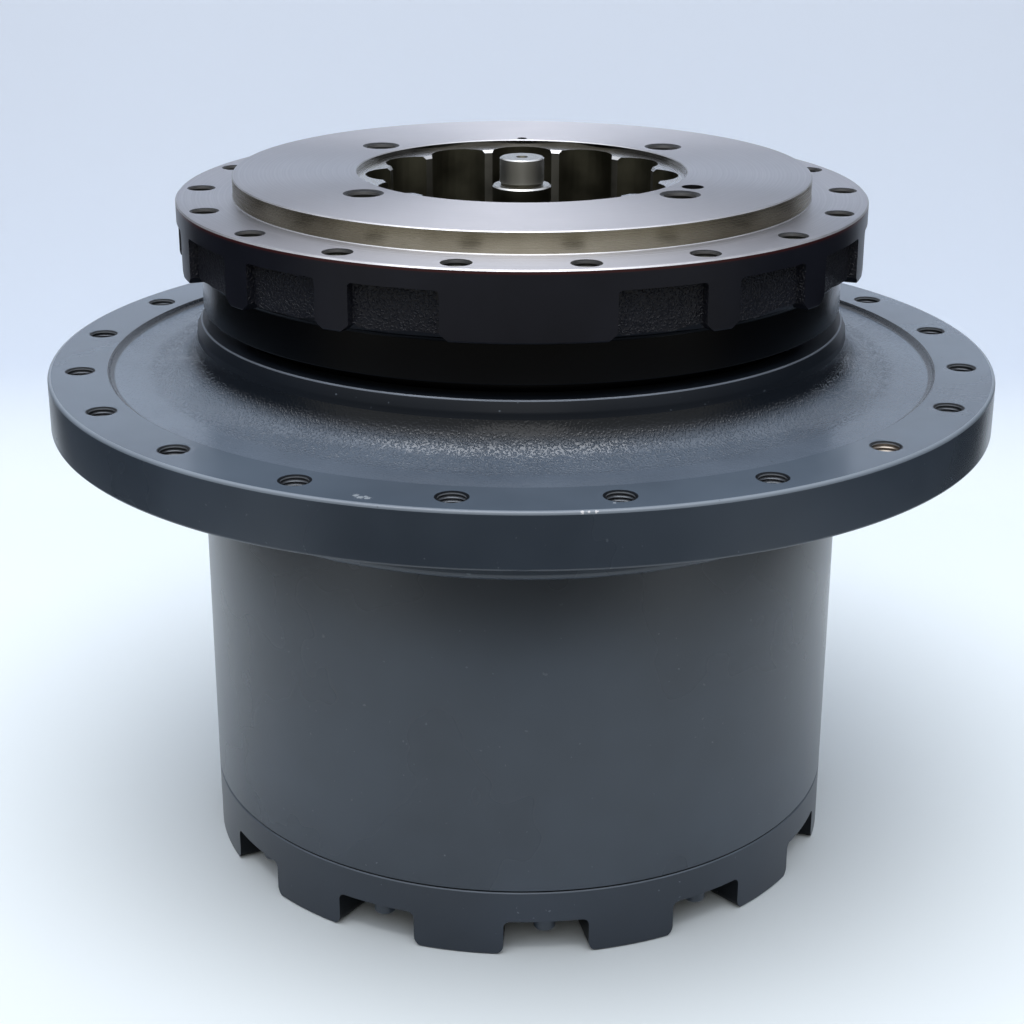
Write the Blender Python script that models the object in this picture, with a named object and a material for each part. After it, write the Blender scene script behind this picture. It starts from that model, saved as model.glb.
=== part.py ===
"""Excavator final drive: a two-stage planetary gearbox inside a track sprocket hub.

The unit stands on its castellated end cover, motor side up. Z is the axis of every turning piece
and z = 0 is the ground under the cover lugs. Lengths are metres. Bearings round the axis are
counted from the front (-Y) towards the right (+X).

The spindle bolts to the track frame. The housing with the sprocket flange turns on it, on two
angular-contact ball bearings. The input shaft drives three planets on the first carrier, the
carrier drives the final sun, and three planets on the fixed final carrier drive the ring gear.
"""
import math

import bmesh
import bpy

# Clearances
SEAT_GAP = 0.0003
FACE_GAP = 0.0005
THREAD_GAP = 0.0003

# Working lengths of cutters and joins
CUT_OVERRUN = 0.01
JOIN_OVERLAP = 0.002
WELD_DISTANCE = 1e-7

# Facets round the axis
BODY_FACETS = 28
RING_FACETS = 20
POCKET_FACETS = 16
PIN_FACETS = 12
HOLE_FACETS = 8
SCREW_FACETS = 6
SHARP_ANGLE = math.radians(35.0)

# Drum and end cover
DRUM_RADIUS = 0.1858
DRUM_BORE_RADIUS = 0.165
JOINT_CHAMFER = 0.0008
COVER_HEIGHT = 0.0389
COVER_LUG_COUNT = 12
COVER_NOTCH_HEIGHT = 0.0208
COVER_NOTCH_WIDTH = math.radians(14.5)
COVER_NOTCH_BEARING = math.radians(4.7)
COVER_NOTCH_CORNER = 0.003
COVER_LUG_CORNER = 0.005
COVER_SKIRT_THICKNESS = 0.026
COVER_PLATE_THICKNESS = 0.0145
COVER_SPIGOT_HEIGHT = 0.006
COVER_SPIGOT_THICKNESS = 0.0125
COVER_SPIGOT_CHAMFER = 0.003
COVER_SCREW_CIRCLE_RADIUS = 0.174
COVER_SCREW_RADIUS = 0.004
COVER_SCREW_LENGTH = 0.034
COVER_SCREW_HEAD_RADIUS = 0.006
COVER_SCREW_HEAD_HEIGHT = 0.010
COVER_SCREW_HOLE_SPARE = 0.004

# Sprocket flange and collar
FLANGE_RADIUS = 0.270
FLANGE_TOP = 0.2901
FLANGE_THICKNESS = 0.0297
FLANGE_BEVEL = 0.0015
COLLAR_RADIUS = 0.200
COLLAR_HEIGHT = 0.034
COLLAR_CHAMFER = 0.003
SPROCKET_HOLE_COUNT = 20
SPROCKET_HOLE_INSET = 0.018
SPROCKET_HOLE_RADIUS = 0.008
SPROCKET_HOLE_BEARING = math.radians(10.7)
SPROCKET_SEAT_WIDTH = 0.033
RECESS_DEPTH = 0.003
RECESS_STEP_WIDTH = 0.001
RECESS_FILLET_RADIUS = 0.020
RECESS_FILLET_STEPS = 2
NECK_ROOT_RADIUS = 0.1855
RIM_RADIUS = 0.1833
RIM_TOP = 0.3164
RIM_WALL = 0.0148

# Spindle, motor face and track-frame flange
MOTOR_DISC_RADIUS = 0.1625
MOTOR_DISC_HEIGHT = 0.0117
FRAME_FLANGE_RADIUS = 0.1941
FRAME_FLANGE_TOP = 0.3846
FRAME_FLANGE_THICKNESS = 0.0369
FRAME_HOLE_COUNT = 18
FRAME_HOLE_CIRCLE_RADIUS = 0.1817
FRAME_HOLE_RADIUS = 0.0075
FRAME_HOLE_DEPTH = 0.030
FRAME_HOLE_BEARING = math.radians(10.0)
POCKET_WIDTH = math.radians(14.0)
POCKET_DEPTH = 0.0048
POCKET_TOP_MARGIN = 0.0112
POCKET_CORNER = 0.002
FRAME_LUG_CORNER = 0.004
SPINDLE_NECK_RADIUS = 0.1814
NECK_BOTTOM_GAP = 0.007
SKIRT_RADIUS = 0.165
SKIRT_LENGTH = 0.0228
MOTOR_BORE_RADIUS = 0.093
MOTOR_BORE_DEPTH = 0.0066
LAND_TIP_RADIUS = 0.081
SCALLOP_COUNT = 12
SCALLOP_RADIUS = 0.0195
SCALLOP_CIRCLE_RADIUS = 0.0731
SCALLOP_STEPS = 3
BRAKE_BORE_DEPTH = 0.1047
MOTOR_HOLE_X = 0.0842
MOTOR_HOLE_Y = 0.0710
MOTOR_HOLE_RADIUS = 0.010
MOTOR_HOLE_DEPTH = 0.042
OIL_PORT_CIRCLE_RADIUS = 0.1053
OIL_PORT_BEARING = math.radians(61.4)
OIL_PORT_RADIUS = 0.006
OIL_PORT_DEPTH = 0.030
DOWEL_CIRCLE_RADIUS = 0.098
DOWEL_RADIUS = 0.003
DOWEL_DEPTH = 0.012
PARTITION_THICKNESS = 0.020
SHAFT_PASSAGE_RADIUS = 0.0185
SPINDLE_CAVITY_RADIUS = 0.076
SPINDLE_SHOULDER_RADIUS = 0.132

# Main bearings
BEARING_BORE_RADIUS = 0.120
BEARING_OUTER_RADIUS = 0.155
BEARING_WIDTH = 0.033
BEARING_RING_SHARE = 0.34
BEARING_GROOVE_SHARE = 0.18
BEARING_SHOULDER_SHARE = 0.26
BALL_COUNT = 14
BALL_SIDES = 4
BALL_SECTIONS = 3
BALL_CLEARANCE = 0.0006
CAGE_NECK_SHARE = 0.4
LOWER_BEARING_BOTTOM = 0.195
BEARING_SHOULDER_WIDTH = 0.018

# Bearing nut and lock plate
NUT_THREAD_RADIUS = 0.112
NUT_RADIUS = 0.129
NUT_HEIGHT = 0.0157
LOCK_PLATE_THICKNESS = 0.0032

# Floating face seal
SEAL_BORE_RADIUS = 0.157
SEAL_RING_WALL = 0.0105
SEAL_RING_HEIGHT = 0.0155
SEAL_RING_FOOT = 0.004
TORIC_RADIUS = 0.0029
TORIC_SIDES = 4
SEAL_SEAT_DEPTH = 0.0205
LABYRINTH_GAP = 0.0015

# Gears
GEAR_MODULE = 0.006
PRESSURE_ANGLE = math.radians(25.0)
SUN_TEETH = 12
PLANET_TEETH = 18
PLANET_COUNT = 3
BACKLASH = 0.0006
ROOT_CLEARANCE = 0.25
RING_ADDENDUM = 0.9
RING_GEAR_HEIGHT = 0.1268
RING_SPACE_ANGLE = 0.0
FIRST_STAGE_BEARING = math.radians(60.0)
FINAL_STAGE_BEARING = math.radians(0.0)

# Ring gear keys
KEY_COUNT = 4
KEY_RADIUS = 0.006
KEY_LENGTH = 0.040
KEY_BEARING = math.radians(19.7)

# Final stage
FINAL_CARRIER_BOTTOM = 0.098
FINAL_CARRIER_PLATE = 0.014
FINAL_PLANET_WIDTH = 0.048
FINAL_CARRIER_RADIUS = 0.134
FINAL_PIN_RADIUS = 0.020
FINAL_PIN_COVER = 0.003
CARRIER_SPLINE_TEETH = 16
CARRIER_SPLINE_DEPTH = 0.005
CARRIER_SPLINE_LENGTH = 0.028
CARRIER_BOSS_WALL = 0.024
POCKET_CLEARANCE = 0.002

# First stage
FIRST_CARRIER_TOP = 0.096
FIRST_CARRIER_PLATE = 0.0135
FIRST_CARRIER_RADIUS = 0.116
FIRST_PLANET_WIDTH = 0.026
FIRST_PIN_RADIUS = 0.016
FIRST_PIN_HEAD_RADIUS = 0.022
FIRST_PIN_HEAD_HEIGHT = 0.005

# Input shaft
SHAFT_RADIUS = 0.0166
SHAFT_TOP = 0.3875
STUB_RADIUS = 0.0125
STUB_LENGTH = 0.0155
STUB_CHAMFER = 0.0013
CENTRE_HOLE_RADIUS = 0.003
CENTRE_HOLE_DEPTH = 0.004
SHAFT_JOURNAL_RADIUS = 0.014
SUN_BORE_RADIUS = 0.0185

# Thrust pad and oil plugs
THRUST_PAD_RADIUS = 0.028
THRUST_PAD_THICKNESS = 0.0055
PLUG_CIRCLE_RADIUS = 0.110
PLUG_RADIUS = 0.012
PLUG_HEAD_RADIUS = 0.016
PLUG_HEAD_HEIGHT = 0.005
PLUG_SOCKET_RADIUS = 0.006
PLUG_SOCKET_DEPTH = 0.008
PLUG_BEARINGS = {
    "drain_plug": math.radians(0.0),
    "level_plug": math.radians(90.0),
    "filler_plug": math.radians(180.0),
}

# Sizes that follow from those above
SPROCKET_HOLE_CIRCLE_RADIUS = FLANGE_RADIUS - SPROCKET_HOLE_INSET
SPROCKET_SEAT_INNER_RADIUS = FLANGE_RADIUS - SPROCKET_SEAT_WIDTH
COVER_CAVITY_TOP = COVER_HEIGHT - COVER_PLATE_THICKNESS
SPIGOT_TOP = COVER_HEIGHT + COVER_SPIGOT_HEIGHT
DRUM_BOTTOM = COVER_HEIGHT + SEAT_GAP
FLANGE_BOTTOM = FLANGE_TOP - FLANGE_THICKNESS
COLLAR_BOTTOM = FLANGE_BOTTOM - COLLAR_HEIGHT
LOWER_BEARING_TOP = LOWER_BEARING_BOTTOM + BEARING_WIDTH
UPPER_BEARING_BOTTOM = LOWER_BEARING_TOP + BEARING_SHOULDER_WIDTH
UPPER_BEARING_TOP = UPPER_BEARING_BOTTOM + BEARING_WIDTH
NECK_BOTTOM = RIM_TOP + NECK_BOTTOM_GAP
SKIRT_BOTTOM = NECK_BOTTOM - SKIRT_LENGTH
SEAL_FACE = SKIRT_BOTTOM - SEAT_GAP
FRAME_FLANGE_BOTTOM = FRAME_FLANGE_TOP - FRAME_FLANGE_THICKNESS
MOTOR_FACE = FRAME_FLANGE_TOP + MOTOR_DISC_HEIGHT
MOTOR_LEDGE = MOTOR_FACE - MOTOR_BORE_DEPTH
BRAKE_BORE_FLOOR = MOTOR_LEDGE - BRAKE_BORE_DEPTH
CAVITY_TOP = BRAKE_BORE_FLOOR - PARTITION_THICKNESS
NUT_BOTTOM = LOWER_BEARING_BOTTOM - SEAT_GAP - NUT_HEIGHT
LOCK_PLATE_BOTTOM = NUT_BOTTOM - SEAT_GAP - LOCK_PLATE_THICKNESS
SPINDLE_BOTTOM = LOCK_PLATE_BOTTOM
RING_GEAR_BOTTOM = SPIGOT_TOP + SEAT_GAP
GEAR_CENTRE_DISTANCE = GEAR_MODULE * (SUN_TEETH + PLANET_TEETH) / 2
RING_TEETH = SUN_TEETH + 2 * PLANET_TEETH
PLANET_TIP_RADIUS = GEAR_MODULE * (PLANET_TEETH / 2 + 1)
PLANET_POCKET_BOTTOM = FINAL_CARRIER_BOTTOM + FINAL_CARRIER_PLATE
PLANET_POCKET_TOP = PLANET_POCKET_BOTTOM + FINAL_PLANET_WIDTH + 2 * FACE_GAP
FINAL_CARRIER_TOP = PLANET_POCKET_TOP + FINAL_CARRIER_PLATE
FIRST_CARRIER_BOTTOM = FIRST_CARRIER_TOP - FIRST_CARRIER_PLATE
FIRST_PLANET_TOP = FIRST_CARRIER_BOTTOM - FACE_GAP
FIRST_PLANET_BOTTOM = FIRST_PLANET_TOP - FIRST_PLANET_WIDTH
THRUST_PAD_BOTTOM = COVER_HEIGHT + SEAT_GAP
SHAFT_BOTTOM = THRUST_PAD_BOTTOM + THRUST_PAD_THICKNESS + SEAT_GAP


def material(name, colour, roughness, metallic):
    """A Principled finish with one colour."""
    finish = bpy.data.materials.new(name)
    finish.use_nodes = True
    shader = finish.node_tree.nodes["Principled BSDF"]
    shader.inputs["Base Color"].default_value = (*colour, 1.0)
    shader.inputs["Roughness"].default_value = roughness
    shader.inputs["Metallic"].default_value = metallic
    finish.diffuse_color = (*colour, 1.0)
    return finish


def on_circle(radius, bearing):
    """The x and y of a point at a bearing counted from the front towards the right."""
    return radius * math.sin(bearing), -radius * math.cos(bearing)


def bore_round(shaft_radius, facets, gap=SEAT_GAP):
    """Corner radius of a faceted bore whose flats clear a round shaft."""
    return (shaft_radius + gap) / math.cos(math.pi / facets)


def fit_inside(bore_radius, facets, gap=SEAT_GAP):
    """Largest radius that clears the flats of a faceted bore."""
    return bore_radius * math.cos(math.pi / facets) - gap


def circle(radius, facets, centre=(0.0, 0.0), phase=0.0):
    """Corner points of a regular polygon."""
    points = []
    for index in range(facets):
        angle = phase + 2 * math.pi * index / facets
        points.append((centre[0] + radius * math.cos(angle), centre[1] + radius * math.sin(angle)))
    return points


def finish_object(name, mesh, finish, parent=None, location=(0.0, 0.0, 0.0)):
    """Turn a closed bmesh into a named object with smooth round faces."""
    bmesh.ops.remove_doubles(mesh, verts=mesh.verts[:], dist=WELD_DISTANCE)
    bmesh.ops.recalc_face_normals(mesh, faces=mesh.faces[:])
    data = bpy.data.meshes.new(name)
    mesh.to_mesh(data)
    mesh.free()
    data.shade_smooth()
    data.set_sharp_from_angle(angle=SHARP_ANGLE)
    if finish is not None:
        data.materials.append(finish)
    piece = bpy.data.objects.new(name, data)
    bpy.context.scene.collection.objects.link(piece)
    piece.location = location
    piece.parent = parent
    return piece


def add_turned(mesh, profile, facets, centre=(0.0, 0.0), phase=0.0):
    """Spin a profile of (radius, height) points; a profile that starts on the axis stays open."""
    touches_axis = profile[0][0] == 0.0
    start_x = math.cos(phase)
    start_y = math.sin(phase)
    corners = [mesh.verts.new((radius * start_x, radius * start_y, height)) for radius, height in profile]
    edges = [mesh.edges.new(pair) for pair in zip(corners, corners[1:])]
    if not touches_axis:
        edges.append(mesh.edges.new((corners[-1], corners[0])))
    before = set(mesh.verts) - set(corners)
    bmesh.ops.spin(
        mesh, geom=corners + edges, cent=(0.0, 0.0, 0.0), axis=(0.0, 0.0, 1.0),
        angle=2 * math.pi, steps=facets, use_merge=True,
    )
    spun = [corner for corner in mesh.verts if corner not in before]
    bmesh.ops.translate(mesh, verts=spun, vec=(centre[0], centre[1], 0.0))
    bmesh.ops.remove_doubles(mesh, verts=spun, dist=WELD_DISTANCE)


def add_prism(mesh, outlines, low, high):
    """A straight solid between two heights; outlines after the first are holes."""
    caps = {low: [], high: []}
    for outline in outlines:
        rings = {}
        for height in (low, high):
            corners = [mesh.verts.new((x, y, height)) for x, y in outline]
            rings[height] = corners
            for index, corner in enumerate(corners):
                caps[height].append(mesh.edges.new((corner, corners[(index + 1) % len(corners)])))
        for index in range(len(outline)):
            following = (index + 1) % len(outline)
            mesh.faces.new((
                rings[low][index], rings[low][following], rings[high][following], rings[high][index],
            ))
    for height in (low, high):
        bmesh.ops.triangle_fill(mesh, use_beauty=True, edges=caps[height], normal=(0.0, 0.0, 1.0))


def turned(name, profile, finish, facets=BODY_FACETS, **placing):
    mesh = bmesh.new()
    add_turned(mesh, profile, facets)
    return finish_object(name, mesh, finish, **placing)


def prism(name, outlines, low, high, finish, **placing):
    mesh = bmesh.new()
    add_prism(mesh, outlines, low, high)
    return finish_object(name, mesh, finish, **placing)


def combine(piece, tool_name, fill_tool, operation="DIFFERENCE"):
    """Cut or join a piece with a hidden tool shape that fill_tool builds in a bmesh."""
    mesh = bmesh.new()
    fill_tool(mesh)
    tool = finish_object(tool_name, mesh, None, parent=piece.parent, location=piece.location)
    tool.hide_render = True
    tool.display_type = "WIRE"
    modifier = piece.modifiers.new(tool_name, "BOOLEAN")
    modifier.object = tool
    modifier.operation = operation
    modifier.solver = "EXACT"
    return tool


def add_radial_cut(mesh, inner_radius, outer_radius, bearing, outline):
    """A cutter through a round wall; outline is seen from outside as (distance along, height)."""
    caps = []
    for radius in (inner_radius, outer_radius):
        corners = []
        for along, height in outline:
            x, y = on_circle(radius, bearing + along / outer_radius)
            corners.append(mesh.verts.new((x, y, height)))
        caps.append(corners)
    inner, outer = caps
    for index in range(len(outline)):
        following = (index + 1) % len(outline)
        mesh.faces.new((inner[index], inner[following], outer[following], outer[index]))
    faces = [mesh.faces.new(inner), mesh.faces.new(outer)]
    bmesh.ops.triangulate(mesh, faces=faces)


def notch_outline(half_width, bottom, top, top_corner, foot_corner):
    """A notch open at the bottom, with broken corners under its roof and at the feet beside it."""
    right = [
        (half_width + foot_corner, bottom - CUT_OVERRUN),
        (half_width + foot_corner, bottom),
        (half_width, bottom + foot_corner),
        (half_width, top - top_corner),
        (half_width - top_corner, top),
    ]
    left = [(-along, height) for along, height in reversed(right)]
    return right + [(0.0, top)] + left + [(0.0, bottom - CUT_OVERRUN)]


def involute(angle):
    return math.tan(angle) - angle


def tooth_half_angle(radius, teeth, play):
    """Half the angle that a tooth of an external gear fills at a radius."""
    pitch_radius = GEAR_MODULE * teeth / 2
    base_radius = pitch_radius * math.cos(PRESSURE_ANGLE)
    pressure = math.acos(min(1.0, base_radius / max(radius, base_radius)))
    at_pitch = math.pi / (2 * teeth) - play / (2 * pitch_radius)
    return at_pitch + involute(PRESSURE_ANGLE) - involute(pressure)


def gear_outline(teeth, phase, root_radius, tip_radius, play, centre=(0.0, 0.0)):
    """Involute teeth, each with a root, a working and a tip point on both flanks.

    An internal gear has the same flanks with the spaces of an external gear, so its outline is
    the hole: root_radius is then the tip of its own teeth.
    """
    pitch_radius = GEAR_MODULE * teeth / 2
    base_radius = pitch_radius * math.cos(PRESSURE_ANGLE)
    flank_radius = max(pitch_radius, base_radius)
    foot_radius = max(root_radius, base_radius)
    stations = [
        (root_radius, tooth_half_angle(foot_radius, teeth, play)),
        (flank_radius, tooth_half_angle(flank_radius, teeth, play)),
        (tip_radius, tooth_half_angle(tip_radius, teeth, play)),
    ]
    points = []
    for tooth in range(teeth):
        middle = phase + 2 * math.pi * tooth / teeth
        flank_points = [(radius, middle - half) for radius, half in stations]
        flank_points += [(radius, middle + half) for radius, half in reversed(stations)]
        for radius, angle in flank_points:
            points.append((centre[0] + radius * math.cos(angle), centre[1] + radius * math.sin(angle)))
    return points


def external_gear(teeth, phase, centre=(0.0, 0.0), growth=0.0):
    """Outline of a sun or planet; growth widens it into a bore that takes the same teeth."""
    pitch_radius = GEAR_MODULE * teeth / 2
    root_radius = pitch_radius - (1 + ROOT_CLEARANCE) * GEAR_MODULE + growth
    tip_radius = pitch_radius + GEAR_MODULE + growth
    play = BACKLASH - 2 * growth / math.cos(PRESSURE_ANGLE)
    return gear_outline(teeth, phase, root_radius, tip_radius, play, centre)


def nearest_step(angle, step):
    """The part of an angle that is left over from whole steps, between minus and plus half a step."""
    return (angle + step / 2) % step - step / 2


def planet_phase(place):
    """Angle of a planet tooth at a place where it fills a space of the ring gear."""
    offset = nearest_step(RING_SPACE_ANGLE - place, 2 * math.pi / RING_TEETH)
    return place + offset * RING_TEETH / PLANET_TEETH


def sun_phase(place):
    """Angle of a sun tooth that fills a space of the planet at a place."""
    space = planet_phase(place) + math.pi / PLANET_TEETH
    offset = nearest_step(space - place - math.pi, 2 * math.pi / PLANET_TEETH)
    return place - offset * PLANET_TEETH / SUN_TEETH


def stage_places(bearing):
    """Angles from +X of the planets of one stage."""
    return [bearing - math.pi / 2 + 2 * math.pi * index / PLANET_COUNT for index in range(PLANET_COUNT)]


def planet_centre(place):
    return GEAR_CENTRE_DISTANCE * math.cos(place), GEAR_CENTRE_DISTANCE * math.sin(place)


def cover_screw_bearings():
    return [COVER_NOTCH_BEARING + 2 * math.pi * index / COVER_LUG_COUNT for index in range(COVER_LUG_COUNT)]


def key_bearings():
    return [KEY_BEARING + 2 * math.pi * index / KEY_COUNT for index in range(KEY_COUNT)]


def recess_fillet():
    """Points of the cast fillet between the flange recess and the housing neck, inner end last."""
    points = []
    recess_floor = FLANGE_TOP - RECESS_DEPTH
    room = SPROCKET_SEAT_INNER_RADIUS - RECESS_STEP_WIDTH - NECK_ROOT_RADIUS
    radius = min(RECESS_FILLET_RADIUS, room)
    for step in range(RECESS_FILLET_STEPS + 1):
        turn = math.pi / 2 * step / RECESS_FILLET_STEPS
        points.append((
            NECK_ROOT_RADIUS + radius * (1 - math.sin(turn)),
            recess_floor + radius * (1 - math.cos(turn)),
        ))
    return points


def build_hub_housing(finish):
    """Sprocket flange, collar and drum in one casting, bored for ring gear, bearings and seal."""
    bearing_seat = BEARING_OUTER_RADIUS
    shoulder = bearing_seat - BEARING_SHOULDER_SHARE * (bearing_seat - BEARING_BORE_RADIUS)
    seal_floor = SEAL_FACE - SEAL_SEAT_DEPTH
    rim_bore = RIM_RADIUS - RIM_WALL
    profile = [
        (DRUM_BORE_RADIUS, DRUM_BOTTOM),
        (DRUM_RADIUS - JOINT_CHAMFER, DRUM_BOTTOM),
        (DRUM_RADIUS, DRUM_BOTTOM + JOINT_CHAMFER),
        (DRUM_RADIUS, COLLAR_BOTTOM),
        (COLLAR_RADIUS - COLLAR_CHAMFER, COLLAR_BOTTOM),
        (COLLAR_RADIUS, COLLAR_BOTTOM + COLLAR_CHAMFER),
        (COLLAR_RADIUS, FLANGE_BOTTOM),
        (FLANGE_RADIUS, FLANGE_BOTTOM),
        (FLANGE_RADIUS, FLANGE_TOP - FLANGE_BEVEL),
        (FLANGE_RADIUS - FLANGE_BEVEL, FLANGE_TOP),
        (SPROCKET_SEAT_INNER_RADIUS, FLANGE_TOP),
        (SPROCKET_SEAT_INNER_RADIUS - RECESS_STEP_WIDTH, FLANGE_TOP - RECESS_DEPTH),
    ]
    profile += recess_fillet()
    profile += [
        (RIM_RADIUS, RIM_TOP),
        (rim_bore, RIM_TOP),
        (rim_bore, SKIRT_BOTTOM - LABYRINTH_GAP),
        (SEAL_BORE_RADIUS, SKIRT_BOTTOM - LABYRINTH_GAP),
        (SEAL_BORE_RADIUS, seal_floor),
        (bearing_seat, seal_floor),
        (bearing_seat, UPPER_BEARING_BOTTOM),
        (shoulder, UPPER_BEARING_BOTTOM),
        (shoulder, LOWER_BEARING_TOP),
        (bearing_seat, LOWER_BEARING_TOP),
        (bearing_seat, LOWER_BEARING_BOTTOM),
        (DRUM_BORE_RADIUS, LOWER_BEARING_BOTTOM),
    ]
    housing = turned("hub_housing", profile, finish)

    def bolt_holes(mesh):
        for index in range(SPROCKET_HOLE_COUNT):
            bearing = SPROCKET_HOLE_BEARING + 2 * math.pi * index / SPROCKET_HOLE_COUNT
            centre = on_circle(SPROCKET_HOLE_CIRCLE_RADIUS, bearing)
            outline = circle(SPROCKET_HOLE_RADIUS, HOLE_FACETS, centre, bearing)
            add_prism(mesh, [outline], FLANGE_BOTTOM - CUT_OVERRUN, FLANGE_TOP + CUT_OVERRUN)

    def screw_holes(mesh):
        top = COVER_NOTCH_HEIGHT + COVER_SCREW_LENGTH + COVER_SCREW_HOLE_SPARE
        for bearing in cover_screw_bearings():
            centre = on_circle(COVER_SCREW_CIRCLE_RADIUS, bearing)
            outline = circle(COVER_SCREW_RADIUS + THREAD_GAP, SCREW_FACETS, centre)
            add_prism(mesh, [outline], DRUM_BOTTOM - CUT_OVERRUN, top)

    combine(housing, "tool_sprocket_holes", bolt_holes)
    combine(housing, "tool_housing_screw_holes", screw_holes)
    combine(housing, "tool_housing_key_holes", add_key_holes)
    return housing


def add_key_holes(mesh):
    """Round holes on the circle where the ring gear meets the drum."""
    for bearing in key_bearings():
        centre = on_circle(DRUM_BORE_RADIUS, bearing)
        outline = circle(KEY_RADIUS + SEAT_GAP, PIN_FACETS, centre)
        add_prism(mesh, [outline], DRUM_BOTTOM - CUT_OVERRUN, RING_GEAR_BOTTOM + KEY_LENGTH + SEAT_GAP)


def build_end_cover(finish):
    """Castellated cover: a plate with a locating spigot inside and a skirt cut into lugs below."""
    skirt_bore = DRUM_RADIUS - COVER_SKIRT_THICKNESS
    spigot_radius = DRUM_BORE_RADIUS - SEAT_GAP
    profile = [
        (0.0, COVER_CAVITY_TOP),
        (skirt_bore, COVER_CAVITY_TOP),
        (skirt_bore, 0.0),
        (DRUM_RADIUS, 0.0),
        (DRUM_RADIUS, COVER_HEIGHT - JOINT_CHAMFER),
        (DRUM_RADIUS - JOINT_CHAMFER, COVER_HEIGHT),
        (spigot_radius, COVER_HEIGHT),
        (spigot_radius, SPIGOT_TOP - COVER_SPIGOT_CHAMFER),
        (spigot_radius - COVER_SPIGOT_CHAMFER, SPIGOT_TOP),
        (spigot_radius - COVER_SPIGOT_THICKNESS, SPIGOT_TOP),
        (spigot_radius - COVER_SPIGOT_THICKNESS, COVER_HEIGHT),
        (0.0, COVER_HEIGHT),
    ]
    cover = turned("end_cover", profile, finish)

    def notches(mesh):
        reach = DRUM_RADIUS + CUT_OVERRUN
        half_width = reach * COVER_NOTCH_WIDTH / 2
        outline = notch_outline(half_width, 0.0, COVER_NOTCH_HEIGHT, COVER_NOTCH_CORNER, COVER_LUG_CORNER)
        for bearing in cover_screw_bearings():
            add_radial_cut(mesh, skirt_bore - CUT_OVERRUN, reach, bearing, outline)

    def holes(mesh):
        for bearing in cover_screw_bearings():
            centre = on_circle(COVER_SCREW_CIRCLE_RADIUS, bearing)
            outline = circle(COVER_SCREW_RADIUS + THREAD_GAP, SCREW_FACETS, centre)
            add_prism(mesh, [outline], COVER_NOTCH_HEIGHT - CUT_OVERRUN, COVER_HEIGHT + CUT_OVERRUN)
        for bearing in PLUG_BEARINGS.values():
            centre = on_circle(PLUG_CIRCLE_RADIUS, bearing)
            outline = circle(PLUG_RADIUS + THREAD_GAP, PIN_FACETS, centre)
            add_prism(mesh, [outline], COVER_CAVITY_TOP - CUT_OVERRUN, COVER_HEIGHT + CUT_OVERRUN)

    combine(cover, "tool_cover_notches", notches)
    combine(cover, "tool_cover_holes", holes)
    return cover


def build_cover_screws(finish):
    head_top = COVER_NOTCH_HEIGHT - SEAT_GAP
    profile = [
        (0.0, head_top - COVER_SCREW_HEAD_HEIGHT),
        (COVER_SCREW_HEAD_RADIUS, head_top - COVER_SCREW_HEAD_HEIGHT),
        (COVER_SCREW_HEAD_RADIUS, head_top),
        (COVER_SCREW_RADIUS, head_top),
        (COVER_SCREW_RADIUS, head_top + COVER_SCREW_LENGTH),
        (0.0, head_top + COVER_SCREW_LENGTH),
    ]
    for index, bearing in enumerate(cover_screw_bearings()):
        centre = on_circle(COVER_SCREW_CIRCLE_RADIUS, bearing)
        name = f"cover_screw_{index + 1:02d}"
        turned(name, profile, finish, facets=SCREW_FACETS, location=(centre[0], centre[1], 0.0))


def build_oil_plugs(finish):
    head_top = COVER_CAVITY_TOP - SEAT_GAP
    head_bottom = head_top - PLUG_HEAD_HEIGHT
    profile = [
        (0.0, head_bottom + PLUG_SOCKET_DEPTH),
        (PLUG_SOCKET_RADIUS, head_bottom + PLUG_SOCKET_DEPTH),
        (PLUG_SOCKET_RADIUS, head_bottom),
        (PLUG_HEAD_RADIUS, head_bottom),
        (PLUG_HEAD_RADIUS, head_top),
        (PLUG_RADIUS, head_top),
        (PLUG_RADIUS, COVER_HEIGHT),
        (0.0, COVER_HEIGHT),
    ]
    for name, bearing in PLUG_BEARINGS.items():
        centre = on_circle(PLUG_CIRCLE_RADIUS, bearing)
        turned(name, profile, finish, facets=PIN_FACETS, location=(centre[0], centre[1], 0.0))


def build_cover_o_ring(finish):
    """O-ring squeezed into the chamfer of the cover spigot, under the ring gear."""
    outer = DRUM_BORE_RADIUS - 2 * SEAT_GAP
    corner = COVER_SPIGOT_CHAMFER - 3 * SEAT_GAP
    profile = [(outer, SPIGOT_TOP), (outer - corner, SPIGOT_TOP), (outer, SPIGOT_TOP - corner)]
    turned("cover_o_ring", profile, finish)


def build_thrust_pad(finish):
    profile = [
        (0.0, THRUST_PAD_BOTTOM),
        (THRUST_PAD_RADIUS, THRUST_PAD_BOTTOM),
        (THRUST_PAD_RADIUS, THRUST_PAD_BOTTOM + THRUST_PAD_THICKNESS),
        (0.0, THRUST_PAD_BOTTOM + THRUST_PAD_THICKNESS),
    ]
    turned("thrust_pad", profile, finish, facets=PIN_FACETS)


def build_ring_gear(finish):
    pitch_radius = GEAR_MODULE * RING_TEETH / 2
    tip_radius = pitch_radius - RING_ADDENDUM * GEAR_MODULE
    root_radius = pitch_radius + (1 + ROOT_CLEARANCE) * GEAR_MODULE
    teeth = gear_outline(RING_TEETH, RING_SPACE_ANGLE, tip_radius, root_radius, -BACKLASH)
    outside = circle(DRUM_BORE_RADIUS - SEAT_GAP, BODY_FACETS)
    top = RING_GEAR_BOTTOM + RING_GEAR_HEIGHT
    gear = prism("ring_gear", [outside, teeth], RING_GEAR_BOTTOM, top, finish)
    combine(gear, "tool_ring_gear_key_holes", add_key_holes)


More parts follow.
